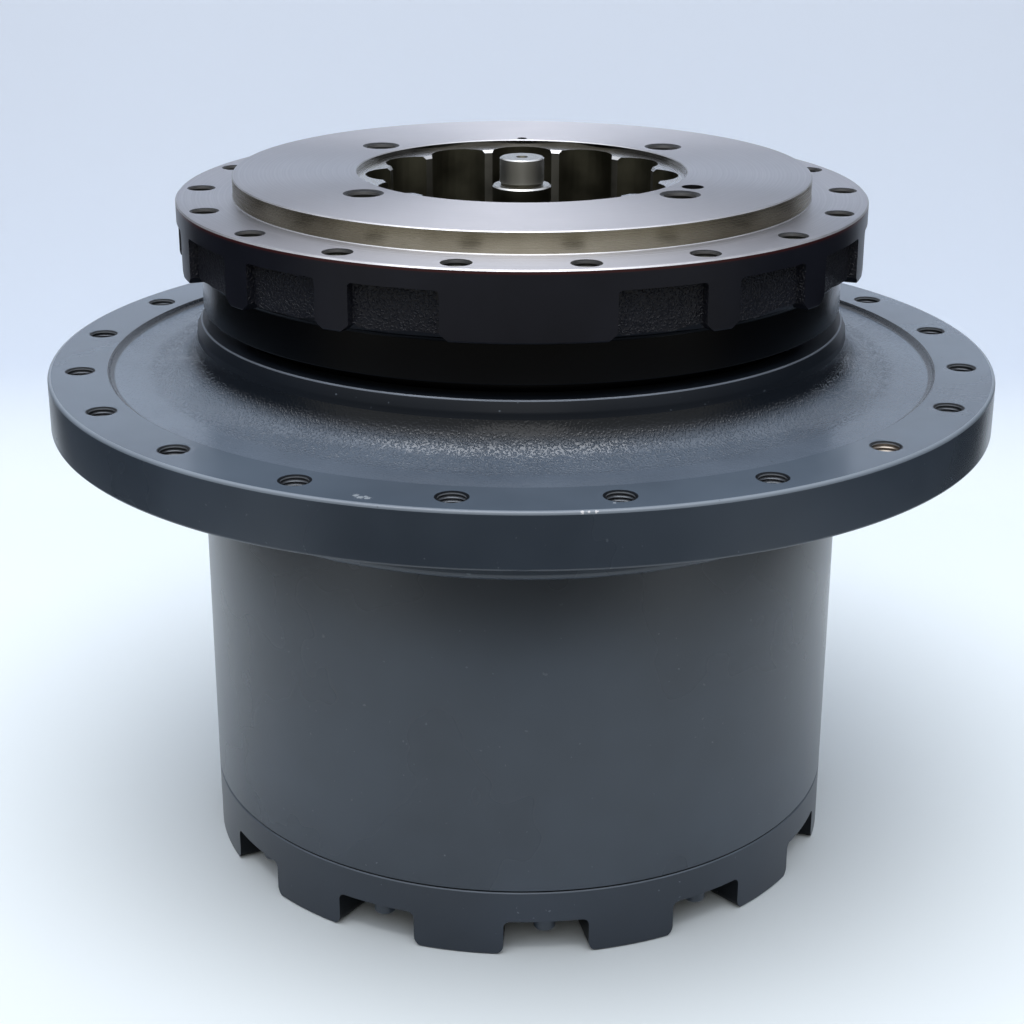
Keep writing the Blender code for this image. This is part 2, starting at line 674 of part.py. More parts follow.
def build_keys(finish):
    for index, bearing in enumerate(key_bearings()):
        centre = on_circle(DRUM_BORE_RADIUS, bearing)
        low = RING_GEAR_BOTTOM
        outline = circle(KEY_RADIUS, PIN_FACETS)
        prism(
            f"ring_gear_key_{index + 1}", [outline], low, low + KEY_LENGTH, finish,
            location=(centre[0], centre[1], 0.0),
        )


def scallop_outline():
    """Bore of land tip radius opened by a ring of round scallops."""
    reach = (LAND_TIP_RADIUS ** 2 + SCALLOP_CIRCLE_RADIUS ** 2 - SCALLOP_RADIUS ** 2)
    half_angle = math.acos(reach / (2 * LAND_TIP_RADIUS * SCALLOP_CIRCLE_RADIUS))
    points = []
    for scallop in range(SCALLOP_COUNT):
        middle = 2 * math.pi * scallop / SCALLOP_COUNT
        for step in range(SCALLOP_STEPS + 1):
            away = half_angle * (2 * step / SCALLOP_STEPS - 1)
            along = SCALLOP_CIRCLE_RADIUS * math.cos(away)
            aside = SCALLOP_CIRCLE_RADIUS * math.sin(away)
            radius = along + math.sqrt(SCALLOP_RADIUS ** 2 - aside ** 2)
            points.append(on_circle(radius, middle + away))
    return points


def spline_outline(root, tip, play):
    """Straight-sided spline between the spindle and the final carrier; play widens its teeth."""
    pitch = 2 * math.pi / CARRIER_SPLINE_TEETH
    half = pitch / 4 + play / SPINDLE_CAVITY_RADIUS
    points = []
    for tooth in range(CARRIER_SPLINE_TEETH):
        middle = pitch * tooth
        points.append(on_circle(root, middle - half))
        points.append(on_circle(tip, middle - half))
        points.append(on_circle(tip, middle + half))
        points.append(on_circle(root, middle + half))
    return points


def build_spindle(finish, parent):
    """Fixed half: motor face, track-frame flange, bearing journals and brake bore."""
    seal_roof = SKIRT_BOTTOM + SEAL_SEAT_DEPTH
    profile = [
        (SPINDLE_CAVITY_RADIUS, SPINDLE_BOTTOM),
        (NUT_THREAD_RADIUS, SPINDLE_BOTTOM),
        (NUT_THREAD_RADIUS, LOWER_BEARING_BOTTOM),
        (BEARING_BORE_RADIUS, LOWER_BEARING_BOTTOM),
        (BEARING_BORE_RADIUS, UPPER_BEARING_TOP + SEAT_GAP),
        (SPINDLE_SHOULDER_RADIUS, UPPER_BEARING_TOP + SEAT_GAP),
        (SPINDLE_SHOULDER_RADIUS, seal_roof),
        (SEAL_BORE_RADIUS, seal_roof),
        (SEAL_BORE_RADIUS, SKIRT_BOTTOM),
        (SKIRT_RADIUS, SKIRT_BOTTOM),
        (SKIRT_RADIUS, NECK_BOTTOM),
        (SPINDLE_NECK_RADIUS, NECK_BOTTOM),
        (SPINDLE_NECK_RADIUS, FRAME_FLANGE_BOTTOM),
        (FRAME_FLANGE_RADIUS, FRAME_FLANGE_BOTTOM),
        (FRAME_FLANGE_RADIUS, FRAME_FLANGE_TOP),
        (MOTOR_DISC_RADIUS, FRAME_FLANGE_TOP),
        (MOTOR_DISC_RADIUS, MOTOR_FACE),
        (MOTOR_BORE_RADIUS, MOTOR_FACE),
        (MOTOR_BORE_RADIUS, MOTOR_LEDGE),
        (SHAFT_PASSAGE_RADIUS, MOTOR_LEDGE),
        (SHAFT_PASSAGE_RADIUS, CAVITY_TOP),
        (SPINDLE_CAVITY_RADIUS, CAVITY_TOP),
    ]
    spindle = turned("spindle", profile, finish, parent=parent)

    def brake_bore(mesh):
        add_prism(mesh, [scallop_outline()], BRAKE_BORE_FLOOR, MOTOR_FACE + CUT_OVERRUN)

    def spline(mesh):
        top = SPINDLE_BOTTOM + CARRIER_SPLINE_LENGTH + 2 * FACE_GAP
        tip = SPINDLE_CAVITY_RADIUS + CARRIER_SPLINE_DEPTH
        outline = spline_outline(SPINDLE_CAVITY_RADIUS - JOIN_OVERLAP, tip, 0.0)
        add_prism(mesh, [outline], SPINDLE_BOTTOM - CUT_OVERRUN, top)

    def pockets(mesh):
        pitch = 2 * math.pi / FRAME_HOLE_COUNT
        reach = FRAME_FLANGE_RADIUS + CUT_OVERRUN
        top = FRAME_FLANGE_TOP - POCKET_TOP_MARGIN
        half_width = reach * POCKET_WIDTH / 2
        outline = notch_outline(half_width, FRAME_FLANGE_BOTTOM, top, POCKET_CORNER, FRAME_LUG_CORNER)
        for index in range(FRAME_HOLE_COUNT):
            if index % (FRAME_HOLE_COUNT // 2) != 0:
                add_radial_cut(mesh, FRAME_FLANGE_RADIUS - POCKET_DEPTH, reach, index * pitch, outline)

    def bolt_holes(mesh):
        for index in range(FRAME_HOLE_COUNT):
            bearing = FRAME_HOLE_BEARING + 2 * math.pi * index / FRAME_HOLE_COUNT
            centre = on_circle(FRAME_HOLE_CIRCLE_RADIUS, bearing)
            outline = circle(FRAME_HOLE_RADIUS, HOLE_FACETS, centre, bearing)
            add_prism(mesh, [outline], FRAME_FLANGE_TOP - FRAME_HOLE_DEPTH, FRAME_FLANGE_TOP + CUT_OVERRUN)
        for side in (-1, 1):
            for end in (-1, 1):
                outline = circle(MOTOR_HOLE_RADIUS, PIN_FACETS, (side * MOTOR_HOLE_X, end * MOTOR_HOLE_Y))
                add_prism(mesh, [outline], MOTOR_FACE - MOTOR_HOLE_DEPTH, MOTOR_FACE + CUT_OVERRUN)
        port = circle(OIL_PORT_RADIUS, HOLE_FACETS, on_circle(OIL_PORT_CIRCLE_RADIUS, OIL_PORT_BEARING))
        add_prism(mesh, [port], MOTOR_FACE - OIL_PORT_DEPTH, MOTOR_FACE + CUT_OVERRUN)
        dowel = circle(DOWEL_RADIUS, SCREW_FACETS, on_circle(DOWEL_CIRCLE_RADIUS, math.pi))
        add_prism(mesh, [dowel], MOTOR_FACE - DOWEL_DEPTH, MOTOR_FACE + CUT_OVERRUN)

    combine(spindle, "tool_brake_bore", brake_bore)
    combine(spindle, "tool_spindle_spline", spline)
    combine(spindle, "tool_flange_pockets", pockets)
    combine(spindle, "tool_spindle_holes", bolt_holes)
    return spindle


def build_bearing(prefix, bottom, spindle_place, cage_place, steel, cage_finish):
    """Single-row angular-contact ball bearing: inner ring, outer ring, balls in their cage."""
    middle = bottom + BEARING_WIDTH / 2
    top = bottom + BEARING_WIDTH
    inner_bore = bore_round(BEARING_BORE_RADIUS, RING_FACETS)
    outer_seat = fit_inside(BEARING_OUTER_RADIUS, BODY_FACETS)
    section = outer_seat - inner_bore
    inner_land = inner_bore + BEARING_RING_SHARE * section
    outer_land = outer_seat - BEARING_RING_SHARE * section
    inner_track = inner_land - BEARING_GROOVE_SHARE * section
    outer_track = outer_land + BEARING_GROOVE_SHARE * section
    inner_profile = [
        (inner_bore, bottom + SEAT_GAP),
        (inner_land, bottom + SEAT_GAP),
        (inner_track, middle),
        (inner_land, top),
        (inner_bore, top),
    ]
    outer_profile = [
        (outer_seat, bottom + SEAT_GAP),
        (outer_seat, top - SEAT_GAP),
        (outer_land, top - SEAT_GAP),
        (outer_track, middle),
        (outer_land, bottom + SEAT_GAP),
    ]
    turned(f"{prefix}_bearing_inner_ring", inner_profile, steel, RING_FACETS, parent=spindle_place)
    turned(f"{prefix}_bearing_outer_ring", outer_profile, steel, RING_FACETS)
    outer_flat = fit_inside(outer_track, RING_FACETS, 0.0)
    pitch_radius = (inner_track + outer_flat) / 2
    ball_radius = (outer_flat - inner_track) / 2 - BALL_CLEARANCE
    mesh = bmesh.new()
    sections = []
    for index in range(BALL_COUNT * BALL_SECTIONS):
        angle = 2 * math.pi * index / (BALL_COUNT * BALL_SECTIONS)
        bead = ball_radius * CAGE_NECK_SHARE if index % BALL_SECTIONS == 0 else ball_radius
        section = []
        for side in range(BALL_SIDES):
            turn = 2 * math.pi * side / BALL_SIDES
            radius = pitch_radius + bead * math.cos(turn)
            height = middle + bead * math.sin(turn)
            section.append(mesh.verts.new((radius * math.cos(angle), radius * math.sin(angle), height)))
        sections.append(section)
    for index, section in enumerate(sections):
        following = sections[(index + 1) % len(sections)]
        for side in range(BALL_SIDES):
            other = (side + 1) % BALL_SIDES
            mesh.faces.new((section[side], section[other], following[other], following[side]))
    finish_object(f"{prefix}_bearing_ball_set", mesh, cage_finish, parent=cage_place)


def build_nut(finish, plate_finish, parent):
    bore = bore_round(NUT_THREAD_RADIUS, RING_FACETS, THREAD_GAP)
    nut_top = NUT_BOTTOM + NUT_HEIGHT
    nut_profile = [(bore, NUT_BOTTOM), (NUT_RADIUS, NUT_BOTTOM), (NUT_RADIUS, nut_top), (bore, nut_top)]
    turned("bearing_nut", nut_profile, finish, RING_FACETS, parent=parent)
    plate_top = LOCK_PLATE_BOTTOM + LOCK_PLATE_THICKNESS
    plate_profile = [
        (bore, LOCK_PLATE_BOTTOM),
        (NUT_RADIUS, LOCK_PLATE_BOTTOM),
        (NUT_RADIUS, plate_top),
        (bore, plate_top),
    ]
    turned("nut_lock_plate", plate_profile, plate_finish, RING_FACETS, parent=parent)


def build_face_seal(steel, rubber, parent):
    """Two lapped metal rings face to face, each pressed by a rubber toric ring in its own seat."""
    seat_radius = fit_inside(SEAL_BORE_RADIUS, BODY_FACETS)
    outer_radius = seat_radius - 2 * (TORIC_RADIUS + SEAT_GAP)
    inner_radius = outer_radius - SEAL_RING_WALL
    for name, direction, place in (("housing", -1, None), ("spindle", 1, parent)):
        face = SEAL_FACE + direction * SEAT_GAP / 2
        foot = face + direction * SEAL_RING_FOOT
        back = face + direction * SEAL_RING_HEIGHT
        ring_profile = [
            (inner_radius, face),
            (outer_radius + SEAL_RING_FOOT, face),
            (outer_radius + SEAL_RING_FOOT, foot),
            (outer_radius, foot),
            (outer_radius, back),
            (inner_radius, back),
        ]
        turned(f"seal_ring_{name}", ring_profile, steel, RING_FACETS, parent=place)
        centre_radius = (outer_radius + seat_radius) / 2
        centre_height = face + direction * (SEAL_RING_HEIGHT + SEAL_RING_FOOT) / 2
        toric_profile = []
        for side in range(TORIC_SIDES):
            turn = 2 * math.pi * side / TORIC_SIDES
            toric_profile.append((
                centre_radius + TORIC_RADIUS * math.cos(turn),
                centre_height + TORIC_RADIUS * math.sin(turn),
            ))
        turned(f"seal_toric_{name}", toric_profile, rubber, RING_FACETS, parent=place)


def build_final_stage(steel, gear_steel, parent):
    """Carrier that is splined into the spindle, three planets on their pins."""
    places = stage_places(FINAL_STAGE_BEARING)
    boss_top = SPINDLE_BOTTOM + CARRIER_SPLINE_LENGTH
    boss_bore = SPINDLE_CAVITY_RADIUS - CARRIER_BOSS_WALL
    carrier = prism(
        "final_carrier", [circle(FINAL_CARRIER_RADIUS, RING_FACETS)], FINAL_CARRIER_BOTTOM,
        FINAL_CARRIER_TOP, steel, parent=parent,
    )

    def boss(mesh):
        root = fit_inside(SPINDLE_CAVITY_RADIUS, BODY_FACETS)
        tip = SPINDLE_CAVITY_RADIUS + CARRIER_SPLINE_DEPTH - SEAT_GAP
        add_prism(mesh, [spline_outline(root, tip, -SEAT_GAP)], FINAL_CARRIER_TOP - JOIN_OVERLAP, boss_top)

    def bore(mesh):
        outline = circle(boss_bore, RING_FACETS)
        add_prism(mesh, [outline], FINAL_CARRIER_BOTTOM - CUT_OVERRUN, boss_top + CUT_OVERRUN)

    def pockets(mesh):
        for place in places:
            outline = circle(PLANET_TIP_RADIUS + POCKET_CLEARANCE, POCKET_FACETS, planet_centre(place))
            add_prism(mesh, [outline], PLANET_POCKET_BOTTOM, PLANET_POCKET_TOP)

    def pin_holes(mesh):
        for place in places:
            outline = circle(FINAL_PIN_RADIUS + SEAT_GAP, PIN_FACETS, planet_centre(place), place)
            top = FINAL_CARRIER_TOP - FINAL_PIN_COVER
            add_prism(mesh, [outline], FINAL_CARRIER_BOTTOM - CUT_OVERRUN, top)

    combine(carrier, "tool_carrier_boss", boss, "UNION")
    combine(carrier, "tool_carrier_bore", bore)
    combine(carrier, "tool_carrier_pockets", pockets)
    combine(carrier, "tool_carrier_pin_holes", pin_holes)
    low = PLANET_POCKET_BOTTOM + FACE_GAP
    for index, place in enumerate(places):
        centre = planet_centre(place)
        pin_top = FINAL_CARRIER_TOP - FINAL_PIN_COVER - SEAT_GAP
        prism(
            f"final_planet_pin_{index + 1}", [circle(FINAL_PIN_RADIUS, PIN_FACETS, phase=place)],
            FINAL_CARRIER_BOTTOM, pin_top, gear_steel, parent=parent, location=(centre[0], centre[1], 0.0),
        )
        build_planet(
            f"final_planet_{index + 1}", place, low, FINAL_PLANET_WIDTH, FINAL_PIN_RADIUS, gear_steel,
        )


def build_planet(name, place, low, width, pin_radius, finish):
    centre = planet_centre(place)
    outline = external_gear(PLANET_TEETH, planet_phase(place))
    bore = circle(bore_round(pin_radius, PIN_FACETS), PIN_FACETS, phase=place)
    prism(name, [outline, bore], low, low + width, finish, location=(centre[0], centre[1], 0.0))


def build_first_stage(steel, gear_steel, parent):
    """Carrier that drives the final sun through its teeth, three planets under it on headed pins."""
    places = stage_places(FIRST_STAGE_BEARING)
    final_phase = sun_phase(stage_places(FINAL_STAGE_BEARING)[0])
    drive_bore = external_gear(SUN_TEETH, final_phase, growth=SEAT_GAP)
    holes = [circle(FIRST_PIN_RADIUS + SEAT_GAP, PIN_FACETS, planet_centre(place), place) for place in places]
    outside = circle(FIRST_CARRIER_RADIUS, RING_FACETS)
    prism(
        "first_carrier", [outside, drive_bore] + holes, FIRST_CARRIER_BOTTOM, FIRST_CARRIER_TOP, steel,
        parent=parent,
    )
    sun_outline = external_gear(SUN_TEETH, final_phase)
    sun_top = PLANET_POCKET_TOP
    prism(
        "final_sun", [sun_outline, circle(SUN_BORE_RADIUS, PIN_FACETS)], FIRST_CARRIER_BOTTOM + SEAT_GAP,
        sun_top, gear_steel, parent=parent,
    )
    head_top = FIRST_PLANET_BOTTOM - SEAT_GAP
    pin_profile = [
        (0.0, head_top - FIRST_PIN_HEAD_HEIGHT),
        (FIRST_PIN_HEAD_RADIUS, head_top - FIRST_PIN_HEAD_HEIGHT),
        (FIRST_PIN_HEAD_RADIUS, head_top),
        (FIRST_PIN_RADIUS, head_top),
        (FIRST_PIN_RADIUS, FIRST_CARRIER_TOP - SEAT_GAP),
        (0.0, FIRST_CARRIER_TOP - SEAT_GAP),
    ]
    for index, place in enumerate(places):
        centre = planet_centre(place)
        mesh = bmesh.new()
        add_turned(mesh, pin_profile, PIN_FACETS, phase=place)
        finish_object(
            f"first_planet_pin_{index + 1}", mesh, gear_steel, parent=parent,
            location=(centre[0], centre[1], 0.0),
        )
        build_planet(
            f"first_planet_{index + 1}", place, FIRST_PLANET_BOTTOM, FIRST_PLANET_WIDTH, FIRST_PIN_RADIUS,
            gear_steel,
        )


def build_input_shaft(finish, parent):
    """Shaft from the motor with the first sun cut on its lower end."""
    stub_top = SHAFT_TOP + STUB_LENGTH
    profile = [
        (0.0, SHAFT_BOTTOM),
        (SHAFT_JOURNAL_RADIUS, SHAFT_BOTTOM),
        (SHAFT_JOURNAL_RADIUS, FIRST_PLANET_BOTTOM + JOIN_OVERLAP),
        (SHAFT_RADIUS, FIRST_PLANET_BOTTOM + JOIN_OVERLAP),
        (SHAFT_RADIUS, SHAFT_TOP),
        (STUB_RADIUS, SHAFT_TOP),
        (STUB_RADIUS, stub_top - STUB_CHAMFER),
        (STUB_RADIUS - STUB_CHAMFER, stub_top),
        (CENTRE_HOLE_RADIUS, stub_top),
        (0.0, stub_top - CENTRE_HOLE_DEPTH),
    ]
    shaft = turned("input_shaft", profile, finish, facets=PIN_FACETS, parent=parent)

    def first_sun(mesh):
        phase = sun_phase(stage_places(FIRST_STAGE_BEARING)[0])
        add_prism(
            mesh, [external_gear(SUN_TEETH, phase)], FIRST_PLANET_BOTTOM - FACE_GAP,
            FIRST_PLANET_TOP - FACE_GAP,
        )

    combine(shaft, "tool_first_sun", first_sun, "UNION")


def axis_empty(name):
    """Marks the turning axis of a group of pieces."""
    place = bpy.data.objects.new(name, None)
    bpy.context.scene.collection.objects.link(place)
    return place


def main():
    for old in list(bpy.data.objects):
        bpy.data.objects.remove(old, do_unlink=True)
    housing_paint = material("housing_paint", (0.045, 0.055, 0.065), 0.38, 0.0)
    spindle_steel = material("machined_spindle", (0.36, 0.36, 0.40), 0.35, 0.9)
    screw_steel = material("black_oxide_screw", (0.05, 0.055, 0.06), 0.45, 0.6)
    ground_steel = material("ground_steel", (0.62, 0.62, 0.63), 0.22, 1.0)
    gear_steel = material("carburised_gear", (0.42, 0.41, 0.40), 0.32, 1.0)
    cast_iron = material("cast_carrier", (0.24, 0.24, 0.25), 0.55, 0.8)
    brass = material("ball_cage_brass", (0.62, 0.47, 0.22), 0.35, 1.0)
    rubber = material("seal_rubber", (0.02, 0.02, 0.02), 0.7, 0.0)
    bronze = material("thrust_bronze", (0.55, 0.36, 0.18), 0.4, 1.0)

    spindle_axis = axis_empty("spindle_axis")
    first_stage_axis = axis_empty("first_stage_axis")
    shaft_axis = axis_empty("input_shaft_axis")
    upper_cage_axis = axis_empty("upper_cage_axis")
    lower_cage_axis = axis_empty("lower_cage_axis")

    build_hub_housing(housing_paint)
    build_end_cover(housing_paint)
    build_cover_screws(screw_steel)
    build_oil_plugs(screw_steel)
    build_cover_o_ring(rubber)
    build_thrust_pad(bronze)
    build_ring_gear(gear_steel)
    build_keys(ground_steel)
    build_spindle(spindle_steel, spindle_axis)
    build_bearing("upper", UPPER_BEARING_BOTTOM, spindle_axis, upper_cage_axis, ground_steel, brass)
    build_bearing("lower", LOWER_BEARING_BOTTOM, spindle_axis, lower_cage_axis, ground_steel, brass)
    build_nut(gear_steel, screw_steel, spindle_axis)
    build_face_seal(ground_steel, rubber, spindle_axis)
    build_final_stage(cast_iron, gear_steel, spindle_axis)
    build_first_stage(cast_iron, gear_steel, first_stage_axis)
    build_input_shaft(ground_steel, shaft_axis)


main()
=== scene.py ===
# %% [markdown]
# # The final drive of an excavator, standing on its end cover
#
# A final drive is the gearbox that turns one track. Its lower half, the hub, carries the sprocket on
# a wide flange. Its upper half, the spindle, is bolted to the track frame and takes the motor. This
# lesson gives it smooth turned surfaces, rounded castings, tapped holes with threads, and finishes
# that are made from nodes alone.

# %% Load the measured model
import math

import bmesh
import bpy
from mathutils import Matrix, Vector


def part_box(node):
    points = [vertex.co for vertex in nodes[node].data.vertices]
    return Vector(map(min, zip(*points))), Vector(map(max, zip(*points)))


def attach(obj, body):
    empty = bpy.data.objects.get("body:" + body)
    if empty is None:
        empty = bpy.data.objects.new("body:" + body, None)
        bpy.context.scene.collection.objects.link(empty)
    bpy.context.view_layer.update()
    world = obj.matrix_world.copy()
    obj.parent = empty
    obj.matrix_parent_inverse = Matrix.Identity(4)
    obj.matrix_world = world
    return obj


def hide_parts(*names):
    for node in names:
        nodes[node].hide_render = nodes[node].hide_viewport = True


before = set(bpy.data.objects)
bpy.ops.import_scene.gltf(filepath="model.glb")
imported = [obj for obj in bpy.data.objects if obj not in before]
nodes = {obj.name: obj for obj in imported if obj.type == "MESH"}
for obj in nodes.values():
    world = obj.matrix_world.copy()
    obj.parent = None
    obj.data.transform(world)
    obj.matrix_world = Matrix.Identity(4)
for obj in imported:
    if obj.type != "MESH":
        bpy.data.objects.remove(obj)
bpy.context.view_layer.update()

# %% [markdown]
# ## The camera
#
# The picture was taken from a little above the top face and quite near, with a lens of about 70 mm.
# The direction comes from three turns: down, a touch to the left, and a slight roll. Building the
# matrix from the three axes keeps it plain which way the camera looks.

# %% Place the camera
CAMERA_PLACE = Vector((0.0, -1.12748, 0.61016))
CAMERA_PITCH = math.radians(20.467)
CAMERA_YAW = math.radians(-0.2544)
CAMERA_ROLL = math.radians(0.1715)
CAMERA_LENS = 70.43
SENSOR_WIDTH = 36.0


def place_camera():
    forward = Vector((
        math.sin(CAMERA_YAW) * math.cos(CAMERA_PITCH),
        math.cos(CAMERA_YAW) * math.cos(CAMERA_PITCH),
        -math.sin(CAMERA_PITCH),
    ))
    level_right = Vector((math.cos(CAMERA_YAW), -math.sin(CAMERA_YAW), 0.0))
    level_up = level_right.cross(forward)
    right = math.cos(CAMERA_ROLL) * level_right + math.sin(CAMERA_ROLL) * level_up
    up = -math.sin(CAMERA_ROLL) * level_right + math.cos(CAMERA_ROLL) * level_up
    data = bpy.data.cameras.new("camera")
    data.lens = CAMERA_LENS
    data.sensor_width = SENSOR_WIDTH
    camera = bpy.data.objects.new("camera", data)
    axes = Matrix((right, up, -forward)).transposed().to_4x4()
    camera.matrix_world = Matrix.Translation(CAMERA_PLACE) @ axes
    bpy.context.scene.collection.objects.link(camera)
    bpy.context.scene.camera = camera
    bpy.context.scene.view_settings.view_transform = "Standard"
    return camera


camera = place_camera()
print("camera looks down", round(math.degrees(CAMERA_PITCH), 1), "degrees")

# %% [markdown]
# ## Colours
#
# Colours are noted as they look on a screen, from 0 to 255. Blender's nodes work with light, so each
# value goes through the sRGB curve once, here.


# %% Turn a screen colour into light
def screen(red, green, blue):
    """Linear red, green, blue and alpha of a colour as a screen shows it."""
    light = []
    for value in (red, green, blue):
        share = value / 255
        light.append(share / 12.92 if share <= 0.04045 else ((share + 0.055) / 1.055) ** 2.4)
    return (*light, 1.0)


FLOOR_COLOUR = screen(227, 234, 237)
WALL_COLOUR = screen(230, 239, 255)
print("floor reflects", round(FLOOR_COLOUR[1], 2), "of the light")

# %% [markdown]
# ## Small helpers for node trees
#
# A node tree is built by hand in code: add a node, set its sockets, link it. Two kinds of node come up
# all the time, one that computes with numbers and one that maps a span of values to another. The
# third helper mixes two colours.


# %% Helpers for numbers and colours in a node tree
def add_math(tree, operation, first, second=None):
    """A math node; each operand is a socket or a number."""
    node = tree.nodes.new("ShaderNodeMath")
    node.operation = operation
    for index, operand in enumerate((first, second)):
        if operand is None:
            continue
        if isinstance(operand, (int, float)):
            node.inputs[index].default_value = operand
        else:
            tree.links.new(operand, node.inputs[index])
    return node.outputs["Value"]


def add_range(tree, value, low, high, new_low=0.0, new_high=1.0):
    """Maps a span of a value to another span with soft ends."""
    node = tree.nodes.new("ShaderNodeMapRange")
    node.interpolation_type = "SMOOTHSTEP"
    node.inputs["From Min"].default_value = low
    node.inputs["From Max"].default_value = high
    node.inputs["To Min"].default_value = new_low
    node.inputs["To Max"].default_value = new_high
    tree.links.new(value, node.inputs["Value"])
    return node.outputs["Result"]


def mix_colours(tree, factor, first, second):
    """Mix two colours; each is a colour or a socket."""
    node = tree.nodes.new("ShaderNodeMix")
    node.data_type = "RGBA"
    tree.links.new(factor, node.inputs["Factor"])
    for label, colour in (("A", first), ("B", second)):
        if isinstance(colour, tuple):
            node.inputs[label].default_value = colour
        else:
            tree.links.new(colour, node.inputs[label])
    return node.outputs["Result"]


# %% [markdown]
# ## The studio
#
# A pale sheet lies on the table and rises behind the object. Polished and painted metal shows mostly
# what stands round it, so this sheet matters as much as the lamps: its bright upper part is what
# makes the machined faces look silver. One bent strip is enough for both floor and backdrop. Its back
# is clear to the camera, so the object can be looked at from all sides.

# %% Build floor and backdrop in one sweep
SWEEP_HALF_WIDTH = 0.69
SWEEP_FRONT = -0.60
SWEEP_BACK = 0.62
SWEEP_RADIUS = 0.10
SWEEP_HEIGHT = 0.62
SWEEP_STEPS = 12
SHEET_ROUGHNESS = 0.8


def sweep_profile():
    points = [(SWEEP_FRONT, 0.0), (SWEEP_BACK - SWEEP_RADIUS, 0.0)]
    for step in range(1, SWEEP_STEPS + 1):
        turn = math.pi / 2 * step / SWEEP_STEPS
        points.append((
            SWEEP_BACK - SWEEP_RADIUS + SWEEP_RADIUS * math.sin(turn),
            SWEEP_RADIUS - SWEEP_RADIUS * math.cos(turn),
        ))
    points.append((SWEEP_BACK, SWEEP_HEIGHT))
    return points


def sweep_material():
    """Floor colour below, wall colour above, with a soft change; clear when seen from behind."""
    material = bpy.data.materials.new("pale_sheet")
    material.use_nodes = True
    tree = material.node_tree
    shader = tree.nodes["Principled BSDF"]
    shader.inputs["Roughness"].default_value = SHEET_ROUGHNESS
    place = tree.nodes.new("ShaderNodeNewGeometry")
    split = tree.nodes.new("ShaderNodeSeparateXYZ")
    height = tree.nodes.new("ShaderNodeMapRange")
    height.inputs["From Max"].default_value = SWEEP_RADIUS
    tree.links.new(place.outputs["Position"], split.inputs["Vector"])
    tree.links.new(split.outputs["Z"], height.inputs["Value"])
    colour = mix_colours(tree, height.outputs["Result"], FLOOR_COLOUR, WALL_COLOUR)
    tree.links.new(colour, shader.inputs["Base Color"])
    path = tree.nodes.new("ShaderNodeLightPath")
    behind = add_math(tree, "MULTIPLY", place.outputs["Backfacing"], path.outputs["Is Camera Ray"])
    clear = tree.nodes.new("ShaderNodeBsdfTransparent")
    blend = tree.nodes.new("ShaderNodeMixShader")
    tree.links.new(behind, blend.inputs["Fac"])
    tree.links.new(shader.outputs["BSDF"], blend.inputs[1])
    tree.links.new(clear.outputs["BSDF"], blend.inputs[2])
    tree.links.new(blend.outputs["Shader"], tree.nodes["Material Output"].inputs["Surface"])
    return material


def build_sweep():
    mesh = bmesh.new()
    pairs = []
    for y, z in sweep_profile():
        left = mesh.verts.new((-SWEEP_HALF_WIDTH, y, z))
        right = mesh.verts.new((SWEEP_HALF_WIDTH, y, z))
        pairs.append((left, right))
    for low, high in zip(pairs, pairs[1:]):
        mesh.faces.new((low[0], low[1], high[1], high[0]))
    data = bpy.data.meshes.new("sheet_sweep")
    mesh.to_mesh(data)
    mesh.free()
    data.shade_smooth()
    data.materials.append(sweep_material())
    sweep = bpy.data.objects.new("sheet_sweep", data)
    bpy.context.scene.collection.objects.link(sweep)
    return sweep


sweep = build_sweep()
print("sweep has", len(sweep.data.polygons), "faces")

# %% [markdown]
# ## The light
#
# Soft daylight falls in from above and from the front, over a yard that is mid grey. To the sides and
# behind, the room is dark near the ground, and the sky fades a little to the right. Upright walls
# mirror what lies at their own height: the yard in the middle, the dark room beside it, and the pale
# sheet only at their outer edges. Faces that look up mirror the sheet and the sky, so they turn out
# much paler than the walls. Each lamp below has a name, a place, a target, its width and depth, and
# its power in watts.

# %% Light the room and hang the lamps
ROOM_DARK = (0.020, 0.022, 0.025, 1.0)
YARD = (0.36, 0.345, 0.30, 1.0)
SKY = (1.45, 1.52, 1.66, 1.0)
YARD_SIDE = (-0.50, -0.10)
YARD_DEPTH = (-0.42, -0.12)
SKY_EDGE = (0.28, 0.95)
SKY_FADE = (-0.6, 0.9)
SKY_RIGHT = 0.88
LAMPS = (
    ("window", (-0.12, -0.65, 2.4), (0.0, 0.0, 0.2), (2.5, 1.25), 28.8),
    ("front_card", (0.0, -2.1, 1.3), (0.0, 0.0, 0.35), (1.2, 1.2), 3.0),
)


def light_room():
    """The room as the object sees it: dark room, grey yard in front, sky above."""
    world = bpy.data.worlds.new("room")
    world.use_nodes = True
    bpy.context.scene.world = world
    tree = world.node_tree
    direction = tree.nodes.new("ShaderNodeTexCoord")
    split = tree.nodes.new("ShaderNodeSeparateXYZ")
    tree.links.new(direction.outputs["Generated"], split.inputs["Vector"])
    in_front = add_range(tree, split.outputs["Y"], *YARD_SIDE, 1.0, 0.0)
    far_off = add_range(tree, split.outputs["Z"], *YARD_DEPTH)
    above = add_range(tree, split.outputs["Z"], *SKY_EDGE)
    fading = add_range(tree, split.outputs["X"], *SKY_FADE, 1.0, SKY_RIGHT)
    ground = mix_colours(tree, add_math(tree, "MULTIPLY", in_front, far_off), ROOM_DARK, YARD)
    background = tree.nodes["Background"]
    tree.links.new(mix_colours(tree, above, ground, SKY), background.inputs["Color"])
    tree.links.new(fading, background.inputs["Strength"])


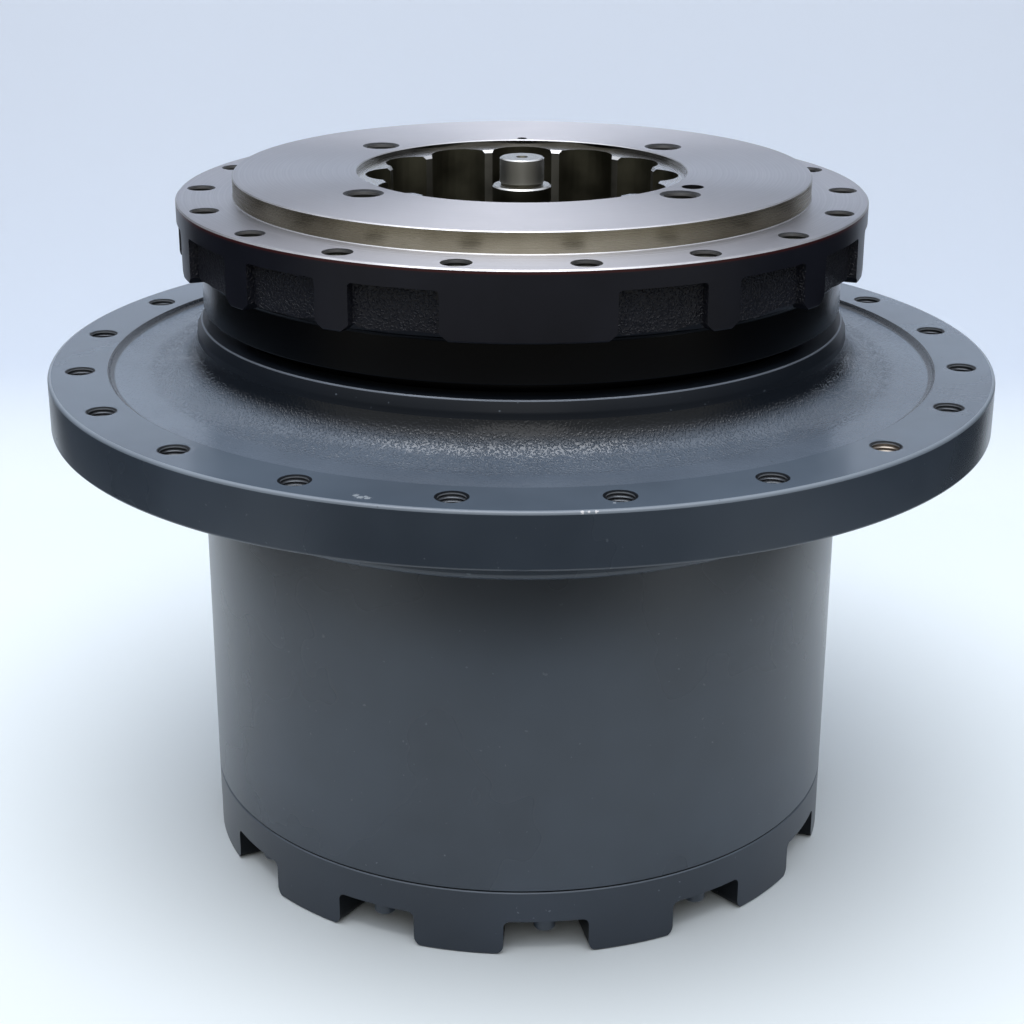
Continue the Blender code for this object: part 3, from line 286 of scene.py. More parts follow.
def hang_lamp(name, place, target, size, power):
    data = bpy.data.lights.new(name, "AREA")
    data.shape = "ELLIPSE"
    data.size, data.size_y = size
    data.energy = power
    lamp = bpy.data.objects.new(name, data)
    lamp.location = place
    lamp.rotation_euler = (Vector(target) - Vector(place)).to_track_quat("-Z", "Y").to_euler()
    bpy.context.scene.collection.objects.link(lamp)


light_room()
for lamp in LAMPS:
    hang_lamp(*lamp)
print("lamps:", ", ".join(lamp[0] for lamp in LAMPS))

# %% [markdown]
# ## Effects that several finishes share
#
# Cast grain, turning marks and uneven paint show on more than one surface. Each is a node group with
# named inputs and outputs, built once. The materials then set their own scale. A group gives out
# only values that change over the surface, and the shader itself stays in the material.


# %% Helpers for node trees
def new_group(name, inputs, outputs):
    """An empty node group; inputs are (name, value) and outputs are names."""
    group = bpy.data.node_groups.new(name, "ShaderNodeTree")
    for label, value in inputs:
        kind = "NodeSocketVector" if isinstance(value, tuple) else "NodeSocketFloat"
        socket = group.interface.new_socket(name=label, in_out="INPUT", socket_type=kind)
        socket.default_value = value
    for label in outputs:
        group.interface.new_socket(name=label, in_out="OUTPUT", socket_type="NodeSocketFloat")
    return group, group.nodes.new("NodeGroupInput"), group.nodes.new("NodeGroupOutput")


def add_noise(tree, scale, detail=2.0, roughness=0.5):
    """Noise over the surface's own place; scale is a socket or cycles per metre."""
    place = tree.nodes.new("ShaderNodeTexCoord")
    noise = tree.nodes.new("ShaderNodeTexNoise")
    noise.inputs["Detail"].default_value = detail
    noise.inputs["Roughness"].default_value = roughness
    if isinstance(scale, (int, float)):
        noise.inputs["Scale"].default_value = scale
    else:
        tree.links.new(scale, noise.inputs["Scale"])
    tree.links.new(place.outputs["Object"], noise.inputs["Vector"])
    return noise.outputs["Fac"]


def axis_distance(tree):
    """Distance from the turning axis, and height, of the point that is shaded."""
    place = tree.nodes.new("ShaderNodeTexCoord")
    split = tree.nodes.new("ShaderNodeSeparateXYZ")
    tree.links.new(place.outputs["Object"], split.inputs["Vector"])
    squares = add_math(
        tree, "ADD",
        add_math(tree, "MULTIPLY", split.outputs["X"], split.outputs["X"]),
        add_math(tree, "MULTIPLY", split.outputs["Y"], split.outputs["Y"]),
    )
    return add_math(tree, "SQRT", squares), split.outputs["Z"]


# %% [markdown]
# ### Cast grain
#
# A sand casting keeps the grains of its mould. Fine noise gives the grains, and a coarser noise adds
# slow lumps. Painting softens both, so the materials use it at different strengths.


# %% Group: cast grain
COARSE_SHARE = 0.33
LUMP_HEIGHT = 0.9
GRAIN_SPAN = (0.46, 0.70)
PIT_SPAN = (0.60, 0.72)


def cast_grain_group():
    group, entry, leave = new_group("Cast grain", [("Grains per metre", 500.0)], ["Height", "Pits"])
    scale = entry.outputs["Grains per metre"]
    fine = add_noise(group, scale, detail=1.0, roughness=0.5)
    coarse = add_noise(group, add_math(group, "MULTIPLY", scale, COARSE_SHARE), detail=2.0, roughness=0.5)
    dots = add_range(group, fine, *GRAIN_SPAN)
    height = add_math(group, "ADD", add_math(group, "MULTIPLY", coarse, LUMP_HEIGHT), dots)
    group.links.new(height, leave.inputs["Height"])
    group.links.new(add_range(group, fine, *PIT_SPAN), leave.inputs["Pits"])
    return group


# %% [markdown]
# ### Turning marks
#
# A lathe tool leaves a fine spiral. Noise along one line, distance from the axis plus height, gives
# rings on flat faces and on round walls alike, and no ring looks like its neighbour.


# %% Group: turning marks
MARK_SPAN = (0.3, 0.7)


def turning_group():
    group, entry, leave = new_group("Turning marks", [("Rings per metre", 900.0)], ["Height", "Tone"])
    radius, height = axis_distance(group)
    place = add_math(group, "ADD", radius, height)
    along = add_math(group, "MULTIPLY", place, entry.outputs["Rings per metre"])
    rings = group.nodes.new("ShaderNodeTexNoise")
    rings.noise_dimensions = "1D"
    rings.inputs["Scale"].default_value = 1.0
    rings.inputs["Detail"].default_value = 3.0
    group.links.new(along, rings.inputs["W"])
    group.links.new(rings.outputs["Fac"], leave.inputs["Height"])
    group.links.new(add_range(group, rings.outputs["Fac"], *MARK_SPAN), leave.inputs["Tone"])
    return group


# %% [markdown]
# ### Uneven paint
#
# Sprayed paint is never one colour: it has slow clouds, an orange-peel skin and a few specks of
# dust. The three outputs go to the colour, the bump and the roughness of each painted surface.


# %% Group: uneven paint
CLOUD_SPAN = (0.2, 0.8)
DUST_PER_METRE = 310.0
DUST_SPAN = (0.76, 0.80)


def paint_group():
    group, entry, leave = new_group(
        "Uneven paint", [("Clouds per metre", 9.0), ("Peel per metre", 420.0)], ["Cloud", "Peel", "Dust"],
    )
    cloud = add_noise(group, entry.outputs["Clouds per metre"], detail=3.0, roughness=0.55)
    peel = add_noise(group, entry.outputs["Peel per metre"], detail=1.0, roughness=0.4)
    dust = add_noise(group, DUST_PER_METRE, detail=1.0, roughness=0.5)
    group.links.new(add_range(group, cloud, *CLOUD_SPAN), leave.inputs["Cloud"])
    group.links.new(peel, leave.inputs["Peel"])
    group.links.new(add_range(group, dust, *DUST_SPAN), leave.inputs["Dust"])
    return group


# %% [markdown]
# ### A ring and a spot
#
# Wear and stains sit in known places: along one turned edge, or round one hole. The ring is a mask
# near a circle about the axis, and the spot is a ball with a ragged rim.


# %% Groups: edge ring and ragged spot
RING_RIM = (0.6, 1.0)
SPOT_RIM = (0.85, 1.05)
RAGS_PER_METRE = 1100.0
RAG_REACH = 2.6
RAG_LEAST = -0.3


def edge_ring_group():
    group, entry, leave = new_group(
        "Edge ring", [("Radius", 0.1), ("Height", 0.1), ("Reach", 0.001)], ["Mask"],
    )
    radius, height = axis_distance(group)
    out = add_math(group, "SUBTRACT", radius, entry.outputs["Radius"])
    up = add_math(group, "SUBTRACT", height, entry.outputs["Height"])
    distance = add_math(
        group, "SQRT",
        add_math(group, "ADD", add_math(group, "MULTIPLY", out, out), add_math(group, "MULTIPLY", up, up)),
    )
    share = add_math(group, "DIVIDE", distance, entry.outputs["Reach"])
    group.links.new(add_range(group, share, *RING_RIM, 1.0, 0.0), leave.inputs["Mask"])
    return group


def spot_group():
    group, entry, leave = new_group(
        "Ragged spot", [("Centre", (0.0, 0.0, 0.0)), ("Reach", 0.005)], ["Mask"],
    )
    place = group.nodes.new("ShaderNodeTexCoord")
    away = group.nodes.new("ShaderNodeVectorMath")
    away.operation = "DISTANCE"
    group.links.new(place.outputs["Object"], away.inputs[0])
    group.links.new(entry.outputs["Centre"], away.inputs[1])
    rags = add_noise(group, RAGS_PER_METRE, detail=2.0, roughness=0.6)
    ragged = add_math(group, "MULTIPLY", rags, RAG_REACH)
    ragged = add_math(group, "ADD", ragged, RAG_LEAST)
    share = add_math(group, "DIVIDE", away.outputs["Value"], entry.outputs["Reach"])
    share = add_math(group, "MULTIPLY", share, ragged)
    group.links.new(add_range(group, share, *SPOT_RIM, 1.0, 0.0), leave.inputs["Mask"])
    return group


CAST_GRAIN = cast_grain_group()
TURNING = turning_group()
PAINT = paint_group()
EDGE_RING = edge_ring_group()
SPOT = spot_group()
print("node groups:", ", ".join(sorted(group.name for group in bpy.data.node_groups)))


# %% [markdown]
# ## Finishes
#
# Every finish starts from one Principled shader. Numbers that are the same all over are set on its
# own sockets. Only what changes over the surface comes from nodes.


# %% Helpers for materials
def new_finish(name, roughness, metallic, **constants):
    """A material with one Principled shader; constants name further sockets of it."""
    material = bpy.data.materials.new(name)
    material.use_nodes = True
    shader = material.node_tree.nodes["Principled BSDF"]
    shader.inputs["Roughness"].default_value = roughness
    shader.inputs["Metallic"].default_value = metallic
    for label, value in constants.items():
        shader.inputs[label.replace("_", " ")].default_value = value
    return material, material.node_tree, shader


def use_group(tree, group, **values):
    """Place a node group and set its inputs; an underscore in a name stands for a space."""
    node = tree.nodes.new("ShaderNodeGroup")
    node.node_tree = group
    for label, value in values.items():
        node.inputs[label.replace("_", " ")].default_value = value
    return node


def add_bump(tree, shader, height, strength, distance):
    """Let a height bend the shader's normal; the distance is in metres."""
    bump = tree.nodes.new("ShaderNodeBump")
    bump.inputs["Strength"].default_value = strength
    bump.inputs["Distance"].default_value = distance
    tree.links.new(height, bump.inputs["Height"])
    tree.links.new(bump.outputs["Normal"], shader.inputs["Normal"])


# %% [markdown]
# ### Paint of the hub
#
# The hub and cover wear one dark blue-grey satin paint. On the drum and the flange it lies on turned
# metal and is smooth. In the recess of the flange it lies on the raw casting, so the same paint gets
# the cast grain under it. Faces that look up get lighter copies of the paint as painted light: the
# bolt ring a little, and the casting in the recess more, as a painted highlight. Towards the seal,
# under the spindle's flange, the casting and the rim darken with painted shade, and so does the top
# of the drum under the collar. The mouths of the holes and the notches of the cover are near black
# with painted shade. The bevel has a paler tone as a painted highlight. The bolt ring has a small
# chip, and the bevel three knocks that show the bare metal.

# %% Finish: hub paint
DRUM_TONES = (screen(44, 52, 62), screen(60, 69, 81))
COVER_TONES = (screen(32, 40, 51), screen(43, 52, 65))
# Painted light: the bolt ring looks up and gets a lighter copy of the drum's paint.
RING_LIT_TONES = (screen(72, 82, 94), screen(88, 99, 112))
# Painted highlight: the casting in the recess gets a lighter copy still.
CAST_HIGHLIGHT_TONES = (screen(78, 88, 101), screen(100, 111, 125))
# Painted shade: the rim round the seal, under the spindle's flange.
RIM_SHADE_TONES = (screen(22, 27, 34), screen(27, 32, 40))
# Painted shade: the mouths of the holes and the notches of the cover.
SHADE_TONES = (screen(15, 18, 23), screen(19, 23, 28))
# Painted highlight: a paler tone on the bevel of the flange's top edge.
BEVEL_HIGHLIGHT_TONES = (screen(108, 117, 128), screen(120, 130, 141))
HUB_DUST = screen(80, 88, 97)
# Painted shade in the corner of the step behind the bolt ring.
STEP_SHADE = screen(32, 37, 44)
CHIP = screen(142, 150, 158)
# Heights over which the casting darkens towards the seal, as painted shade.
SEAL_SHADE_HEIGHT = (0.2915, 0.3005)
GRAIN_FADE_RADIUS = (0.208, 0.216)
GRAIN_FADE_HEIGHT = (0.2955, 0.302)
GRAIN_LEAST = 0.15
# Painted shade on the top of the drum under the collar.
DRUM_SHADE = screen(20, 24, 29)
SHADE_HEIGHT = (0.165, 0.222)
SHADE_MOST = 0.8
PAINT_SWING = 0.03
PEEL_BUMP = (0.08, 0.0002)
GRAIN_BUMP = (0.7, 0.0006)
GRAINS = 820.0


def satin_paint(name, tones, roughness, ior):
    """What all painted finishes share: the shader, its uneven colour and its roughness."""
    material, tree, shader = new_finish(name, roughness, metallic=0.0, IOR=ior)
    paint = use_group(tree, PAINT)
    colour = mix_colours(tree, paint.outputs["Cloud"], *tones)
    colour = mix_colours(tree, paint.outputs["Dust"], colour, HUB_DUST)
    smoothest, roughest = roughness - PAINT_SWING, roughness + PAINT_SWING
    rough = add_range(tree, paint.outputs["Cloud"], 0.0, 1.0, smoothest, roughest)
    tree.links.new(rough, shader.inputs["Roughness"])
    return material, tree, shader, paint, colour


def hub_paint(name, tones, roughness, ior=1.5, spots=(), shaded=False):
    """Paint on turned metal; spots are (centre, reach, colour); shaded paints the collar's shade onto the
    top of the drum.
    """
    material, tree, shader, paint, colour = satin_paint(name, tones, roughness, ior)
    # Painted shade: the top of the drum darkens under the collar.
    if shaded:
        _, height = axis_distance(tree)
        under = add_range(tree, height, *SHADE_HEIGHT, 0.0, SHADE_MOST)
        colour = mix_colours(tree, under, colour, DRUM_SHADE)
    for centre, reach, stain in spots:
        spot = use_group(tree, SPOT, Centre=centre, Reach=reach)
        colour = mix_colours(tree, spot.outputs["Mask"], colour, stain)
    tree.links.new(colour, shader.inputs["Base Color"])
    add_bump(tree, shader, paint.outputs["Peel"], *PEEL_BUMP)
    return material


def cast_paint(name, roughness, step_shade_ring):
    """Paint on the raw casting, in a lighter copy as a painted highlight; the step ring (radius, height,
    reach) places the painted shade in the corner of the step.
    """
    # The lighter base tone is a painted highlight.
    material, tree, shader, _, colour = satin_paint(name, CAST_HIGHLIGHT_TONES, roughness, ior=1.5)
    radius, height = axis_distance(tree)
    # Painted shade: the casting darkens towards the seal, under the spindle's flange.
    seal_shade = add_range(tree, height, *SEAL_SHADE_HEIGHT)
    colour = mix_colours(tree, seal_shade, colour, RIM_SHADE_TONES[0])
    # Painted shade in the corner of the step.
    ring = use_group(tree, EDGE_RING, Radius=step_shade_ring[0], Height=step_shade_ring[1], Reach=step_shade_ring[2])
    colour = mix_colours(tree, ring.outputs["Mask"], colour, STEP_SHADE)
    tree.links.new(colour, shader.inputs["Base Color"])
    grains = use_group(tree, CAST_GRAIN, Grains_per_metre=GRAINS)
    outward = add_range(tree, radius, *GRAIN_FADE_RADIUS, 1.0, GRAIN_LEAST)
    upward = add_range(tree, height, *GRAIN_FADE_HEIGHT, 1.0, GRAIN_LEAST)
    amount = add_math(tree, "MULTIPLY", outward, upward)
    relief = add_math(tree, "MULTIPLY", grains.outputs["Height"], amount)
    add_bump(tree, shader, relief, *GRAIN_BUMP)
    return material


# %% [markdown]
# ### Machined steel of the spindle
#
# The top faces are turned bright and then lie bare. Metal takes its tone from the room, so the base
# colour is a pale lilac-grey and the turning marks vary its roughness. A brushed face spreads its
# reflections across the marks, which gives the dark and bright sectors of a turned disc. The low wall
# round the raised disc is browner, with slow stains.

# %% Finish: machined steel
STEEL_TOP = screen(194, 194, 200)
STEEL_TOP_WORN = screen(202, 201, 206)
STEEL_WALL = screen(176, 170, 152)
STEEL_WALL_STAIN = screen(118, 110, 92)
STEEL_EDGE = screen(192, 192, 195)
STEEL_BORE = screen(198, 196, 188)
STEEL_PILOT = screen(140, 138, 132)
STEEL_CLOUDS = 14.0
STEEL_SWING = 0.05
MARK_DEPTH = 0.00006
QUARTER_TURN = 0.25
EDGE_CLOUDS = 60.0
EDGE_DULL = 0.75


def turned_steel(name, colour, worn, roughness, rings, ring_bump, brushed=0.0):
    """Bare turned steel; brushed spreads its reflections across the turning marks."""
    material, tree, shader = new_finish(
        name, roughness, metallic=1.0, Anisotropic=brushed, Anisotropic_Rotation=QUARTER_TURN,
    )
    along_marks = tree.nodes.new("ShaderNodeTangent")
    along_marks.direction_type = "RADIAL"
    along_marks.axis = "Z"
    tree.links.new(along_marks.outputs["Tangent"], shader.inputs["Tangent"])
    marks = use_group(tree, TURNING, Rings_per_metre=rings)
    clouds = use_group(tree, PAINT, Clouds_per_metre=STEEL_CLOUDS)
    tree.links.new(mix_colours(tree, clouds.outputs["Cloud"], colour, worn), shader.inputs["Base Color"])
    smoothest, roughest = roughness - STEEL_SWING, roughness + STEEL_SWING
    rough = add_range(tree, marks.outputs["Tone"], 0.0, 1.0, smoothest, roughest)
    tree.links.new(rough, shader.inputs["Roughness"])
    add_bump(tree, shader, marks.outputs["Height"], ring_bump, MARK_DEPTH)
    return material


def plain_edge(name, colour, roughness, metallic):
    """A narrow edge face, slightly uneven."""
    material, tree, shader = new_finish(name, roughness, metallic)
    clouds = use_group(tree, PAINT, Clouds_per_metre=EDGE_CLOUDS)
    dull = tuple(EDGE_DULL * part for part in colour[:3]) + (1.0,)
    tree.links.new(mix_colours(tree, clouds.outputs["Cloud"], dull, colour), shader.inputs["Base Color"])
    return material


# %% [markdown]
# ### The dark flank of the spindle
#
# The side of the upper flange has a near-black satin coat. Right under its polished edge a thin
# red-brown line shows, where the coat thins out. The pockets between the bolt lugs keep the raw cast
# grain, which glitters where it catches light. The neck under the flange and the mouths of the
# tapped holes get an almost black copy of the coat, as painted shade.

# %% Finish: dark flank and cast pockets
FLANK_TONES = (screen(17, 19, 28), screen(26, 28, 38))
# Painted shade: the neck under the flange and the mouths of the tapped holes.
NECK_SHADE_TONES = (screen(2, 3, 6), screen(6, 8, 12))
FLANK_TINT = screen(60, 26, 28)
FLANK_CLOUDS = 22.0
POCKET_RELIEF = 0.0008


def flank_coat(name, tones, roughness, grain=0.0, tint_ring=None, ior=1.45):
    """Dark satin coat; grain is the casting's grain, tint_ring the thin line: (radius, height, reach)."""
    material, tree, shader = new_finish(name, roughness, metallic=0.0, IOR=ior)
    paint = use_group(tree, PAINT, Clouds_per_metre=FLANK_CLOUDS)
    colour = mix_colours(tree, paint.outputs["Cloud"], *tones)
    if tint_ring is not None:
        radius, height, reach = tint_ring
        ring = use_group(tree, EDGE_RING, Radius=radius, Height=height, Reach=reach)
        colour = mix_colours(tree, ring.outputs["Mask"], colour, FLANK_TINT)
    tree.links.new(colour, shader.inputs["Base Color"])
    if grain > 0.0:
        cast = use_group(tree, CAST_GRAIN, Grains_per_metre=GRAINS)
        add_bump(tree, shader, cast.outputs["Height"], grain, POCKET_RELIEF)
    else:
        add_bump(tree, shader, paint.outputs["Peel"], *PEEL_BUMP)
    return material


# %% [markdown]
# ### Bare and oiled steels inside
#
# The bore for the brake plates, the threads and the gears are bare steel with a film of oil. They
# share one recipe with their own colour and roughness. The rubber rings get a fine dull grain.


# %% Finish: oiled steel and rubber
FILM_CLOUDS = 35.0
FILM_DARK = 0.6
FILM_SWING = (-0.06, 0.08)
FILM_BUMP = (0.15, 0.00005)
RUBBER_DARK = screen(20, 20, 21)
RUBBER_PALE = screen(34, 34, 35)
RUBBER_GRAINS = 1800.0
RUBBER_BUMP = (0.2, 0.0002)


def oiled_steel(name, colour, roughness, metallic=1.0, marks_per_metre=1400.0):
    """Steel with turning marks under an oil film that darkens and smooths it in clouds."""
    material, tree, shader = new_finish(name, roughness, metallic)
    film = use_group(tree, PAINT, Clouds_per_metre=FILM_CLOUDS)
    marks = use_group(tree, TURNING, Rings_per_metre=marks_per_metre)
    dark = tuple(FILM_DARK * part for part in colour[:3]) + (1.0,)
    tree.links.new(mix_colours(tree, film.outputs["Cloud"], dark, colour), shader.inputs["Base Color"])
    smoothest, roughest = (roughness + swing for swing in FILM_SWING)
    rough = add_range(tree, film.outputs["Cloud"], 0.0, 1.0, smoothest, roughest)
    tree.links.new(rough, shader.inputs["Roughness"])
    add_bump(tree, shader, marks.outputs["Height"], *FILM_BUMP)
    return material


def dull_rubber():
    material, tree, shader = new_finish("seal_rubber", roughness=0.7, metallic=0.0)
    grain = use_group(tree, CAST_GRAIN, Grains_per_metre=RUBBER_GRAINS)
    colour = mix_colours(tree, grain.outputs["Pits"], RUBBER_DARK, RUBBER_PALE)
    tree.links.new(colour, shader.inputs["Base Color"])
    add_bump(tree, shader, grain.outputs["Height"], *RUBBER_BUMP)
    return material


# %% [markdown]
# ## Turned bodies
#
# Nearly every piece here came off a lathe, so one helper spins a profile about the axis. A profile is
# a list of (radius, height, finish), where the finish covers the strip from that point to the next.
# Round corners come from a short arc between two directions, so the profile lists stay readable.

# %% Helpers for profiles
BODY_STEPS = 320
HOLE_STEPS = 32
SMOOTH_ANGLE = math.radians(30.0)
WELD = 1e-7


def arc(centre, radius, start, end, steps, finish=0):
    """Profile points on an arc; angles in degrees, 0 points away from the axis and 90 up."""
    points = []
    for step in range(steps + 1):
        turn = math.radians(start + (end - start) * step / steps)
        points.append((centre[0] + radius * math.cos(turn), centre[1] + radius * math.sin(turn), finish))
    return points


def on_circle(radius, bearing):
    """A place round the axis; the bearing counts from the camera's side towards the right."""
    return radius * math.sin(bearing), -radius * math.cos(bearing)


def add_turned(mesh, rows, steps, centre=(0.0, 0.0)):
    """Spin rows of (radius, height, finish) into a closed body."""
    rings = []
    for radius, height, _ in rows:
        if radius == 0.0:
            rings.append([mesh.verts.new((centre[0], centre[1], height))])
            continue
        ring = []
        for step in range(steps):
            turn = 2 * math.pi * step / steps
            x = centre[0] + radius * math.cos(turn)
            y = centre[1] + radius * math.sin(turn)
            ring.append(mesh.verts.new((x, y, height)))
        rings.append(ring)
    closed = rows[0][0] != 0.0
    count = len(rings) if closed else len(rings) - 1
    for index in range(count):
        add_strip(mesh, rings[index], rings[(index + 1) % len(rings)], rows[index][2])


def add_strip(mesh, low, high, finish):
    """Faces between two rings; a ring of one vertex is a point on the axis."""
    steps = max(len(low), len(high))
    for step in range(steps):
        following = (step + 1) % steps
        if len(low) == 1:
            corners = (low[0], high[following], high[step])
        elif len(high) == 1:
            corners = (low[step], low[following], high[0])
        else:
            corners = (low[step], low[following], high[following], high[step])
        face = mesh.faces.new(corners)
        face.material_index = finish


# %% [markdown]
# ## Cutters
#
# Holes, pockets and notches are cut by closed tool shapes with an exact Boolean. The tool's faces
# bring their own finish into the cut. Tools that stay clear of each other go into one mesh, so a body
# needs few cuts. A tapped hole is a turned tool with a chamfered mouth and a zigzag wall for the
# thread.


# %% Helpers for cutters
SINK_SLOPE = 0.4
THREAD_DEPTH = 0.55
DRILL_POINT = 0.6
BLIND_LIP = 0.6
THROUGH_LIP = 0.3
TOOL_SPARE = 0.004


def thread_rows(top, bottom, crest, root, pitch, finish):
    """Zigzag wall of a tapped hole, from the top down."""
    rows = []
    height = top
    while height - pitch > bottom:
        rows.append((crest, height, finish))
        rows.append((root, height - pitch / 2, finish))
        height -= pitch
    rows.append((crest, height, finish))
    return rows


def mouth_rows(face, crest, mouth, lip, finishes):
    """A flat countersink and a short plain lip; finishes are those of countersink, lip and wall."""
    sink, edge, _ = finishes
    start = face - SINK_SLOPE * (mouth - crest)
    return [(mouth, face, sink), (crest, start, edge)], start - lip


def add_pin(mesh, centre, radius, start, end, finish):
    """The tool of a plain round hole."""
    rows = [(0.0, start, finish), (radius, start, finish), (radius, end, finish), (0.0, end, finish)]
    add_turned(mesh, rows, HOLE_STEPS, centre)


def add_tapped_hole(mesh, centre, face, depth, crest, mouth, pitch, turns, finishes):
    """A blind tapped hole."""
    sink, _, wall = finishes
    rows = [(0.0, face + TOOL_SPARE, sink), (mouth, face + TOOL_SPARE, sink)]
    entry, start = mouth_rows(face, crest, mouth, BLIND_LIP * pitch, finishes)
    rows += entry
    root = crest + THREAD_DEPTH * pitch
    rows += thread_rows(start, start - turns * pitch, crest, root, pitch, wall)
    rows += [(crest, face - depth, wall), (0.0, face - depth - DRILL_POINT * crest, wall)]
    add_turned(mesh, rows, HOLE_STEPS, centre)


def add_through_hole(mesh, centre, top, bottom, crest, mouth, pitch, turns, finishes):
    """A tapped hole right through a flange, with a countersink at both ends."""
    sink, _, wall = finishes
    end = bottom + SINK_SLOPE * (mouth - crest)
    rows = [(0.0, top + TOOL_SPARE, sink), (mouth, top + TOOL_SPARE, sink)]
    entry, start = mouth_rows(top, crest, mouth, THROUGH_LIP * pitch, finishes)
    rows += entry
    root = crest + THREAD_DEPTH * pitch
    rows += thread_rows(start, start - turns * pitch, crest, root, pitch, wall)
    rows += thread_rows(end + turns * pitch, end, crest, root, pitch, wall)
    rows += [(mouth, bottom, sink), (mouth, bottom - TOOL_SPARE, sink), (0.0, bottom - TOOL_SPARE, sink)]
    add_turned(mesh, rows, HOLE_STEPS, centre)


def add_radial_block(mesh, outline, inner, outer, finish):
    """A tool that reaches through a round wall: outline points are (bearing, height).

    Its faces all face one way, so that several such tools can be cut at once.
    """
    rings = []
    for radius in (inner, outer):
        ring = []
        for bearing, height in outline:
            x, y = on_circle(radius, bearing)
            ring.append(mesh.verts.new((x, y, height)))
        rings.append(ring)
    add_strip(mesh, rings[0], rings[1], finish)
    for ring in (reversed(rings[0]), rings[1]):
        face = mesh.faces.new(ring)
        face.material_index = finish


def add_column(mesh, levels, finishes):
    """A tool whose outline changes with height: levels are (height, outline)."""
    rings = []
    for height, outline in levels:
        rings.append([mesh.verts.new((x, y, height)) for x, y in outline])
    for index, finish in enumerate(finishes):
        add_strip(mesh, rings[index], rings[index + 1], finish)
    for ring, finish in ((rings[0], finishes[0]), (rings[-1], finishes[-1])):
        face = mesh.faces.new(ring)
        face.material_index = finish


# %% [markdown]
# ## From mesh to finished piece
#
# The cut is applied at once, so the piece that stays has one plain mesh. Flat faces then get smooth
# shading with weighted normals, which keeps broad faces flat and lets only the narrow bevels bend.


# %% Helpers for pieces
def new_object(name, mesh, finishes, one_way=False):
    """An object from a mesh; one_way says that the faces already face one way, all in or all out."""
    bmesh.ops.remove_doubles(mesh, verts=mesh.verts[:], dist=WELD)
    if not one_way:
        bmesh.ops.recalc_face_normals(mesh, faces=mesh.faces[:])
    elif mesh.calc_volume(signed=True) < 0.0:
        bmesh.ops.reverse_faces(mesh, faces=mesh.faces[:])
    data = bpy.data.meshes.new(name)
    mesh.to_mesh(data)
    mesh.free()
    for finish in finishes:
        data.materials.append(finish)
    piece = bpy.data.objects.new(name, data)
    bpy.context.scene.collection.objects.link(piece)
    return piece


def apply_modifiers(piece):
    """Replace the mesh by the evaluated one and drop the modifiers."""
    graph = bpy.context.evaluated_depsgraph_get()
    old = piece.data
    piece.data = bpy.data.meshes.new_from_object(piece.evaluated_get(graph))
    piece.modifiers.clear()
    bpy.data.meshes.remove(old)


def cut_piece(piece, tools, finishes, operation="DIFFERENCE", one_way=False):
    """Cut the tools out of the piece, or join them to it with the operation UNION."""
    tool = new_object(piece.name + "_tool", tools, finishes, one_way)
    cut = piece.modifiers.new("cut", "BOOLEAN")
    cut.object = tool
    cut.solver = "EXACT"
    cut.operation = operation
    apply_modifiers(piece)
    data = tool.data
    bpy.data.objects.remove(tool)
    bpy.data.meshes.remove(data)


def smooth_piece(piece):
    """Smooth shading that keeps edges over the smooth angle sharp."""
    piece.data.shade_smooth()
    piece.data.set_sharp_from_angle(angle=SMOOTH_ANGLE)
    weighted = piece.modifiers.new("weighted", "WEIGHTED_NORMAL")
    weighted.keep_sharp = True
    apply_modifiers(piece)


def dress(piece, body, slot, *replaced):
    """Let a piece ride on its body and stand for CAD nodes; slot is not used."""
    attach(piece, body)
    if replaced:
        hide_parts(*replaced)
    print(piece.name, "has", len(piece.data.polygons), "faces")


# %% [markdown]
# ## The hub housing
#
# One casting: the drum below, a short collar, the wide sprocket flange, and above it a hollow fillet
# that leads up to the thin rim round the seal. The outside is turned except for the recess between
# the bolt ring and the rim. Real edges are broken, so each corner gets a bevel of about a millimetre,
# and the bevels that catch light get a paler finish as a painted highlight.

# %% Sizes of the hub housing
HOUSING_LOW, HOUSING_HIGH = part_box("hub_housing")
FLANGE_RADIUS = HOUSING_HIGH.x
DRUM_BOTTOM = HOUSING_LOW.z
RIM_TOP = HOUSING_HIGH.z
COVER_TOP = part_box("end_cover")[1].z
DRUM_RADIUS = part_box("end_cover")[1].x
DRUM_BORE = 0.165
FLANGE_TOP = 0.2901
FLANGE_BOTTOM = 0.2604
COLLAR_BOTTOM = 0.2264
COLLAR_RADIUS = 0.200
COLLAR_ROUND = 0.004
SEAT_INNER = 0.237
RECESS_DEPTH = 0.003
NECK_ROOT = 0.1855
FILLET_RADIUS = 0.024
RIM_RADIUS = 0.1833
RIM_BORE = 0.1685
SEAL_BORE = 0.157
SEAL_SHELF = 0.2991
SEAL_FLOOR = 0.2798
BEARING_SEAT = 0.155
BEARING_SHOULDER = 0.146
LOWER_BEARING = (0.195, 0.228)
UPPER_BEARING_FOOT = 0.246
EDGE_BREAK = 0.0009
RIM_BREAK = 0.0008
RIM_BREAK_DEPTH = 0.0007
DRUM_FILLET = 0.002
FLANGE_FILLET = 0.003
FLANGE_FOOT_ROUND = 0.0015
FLANGE_BEVEL = 0.0017
BEVEL_LEAD = 0.0002
SEAT_EDGE = 0.0005
STEP_INSET = 0.0008
STEP_ROUND = 0.0030
SPROCKET_HOLES = 20
SPROCKET_CIRCLE = 0.252
SPROCKET_BEARING = math.radians(10.7)
SPROCKET_MOUTH = 0.0084
SPROCKET_CREST = 0.0070
THREAD_PITCH = 0.002
COVER_SCREWS = 12
COVER_SCREW_CIRCLE = 0.174
COVER_SCREW_BORE = 0.0043
NOTCH_BEARING = math.radians(4.7)
KEY_BEARING = math.radians(19.7)
KEY_HOLES = 4
KEY_HOLE_RADIUS = 0.0063
KEY_HOLE_TOP = 0.0855
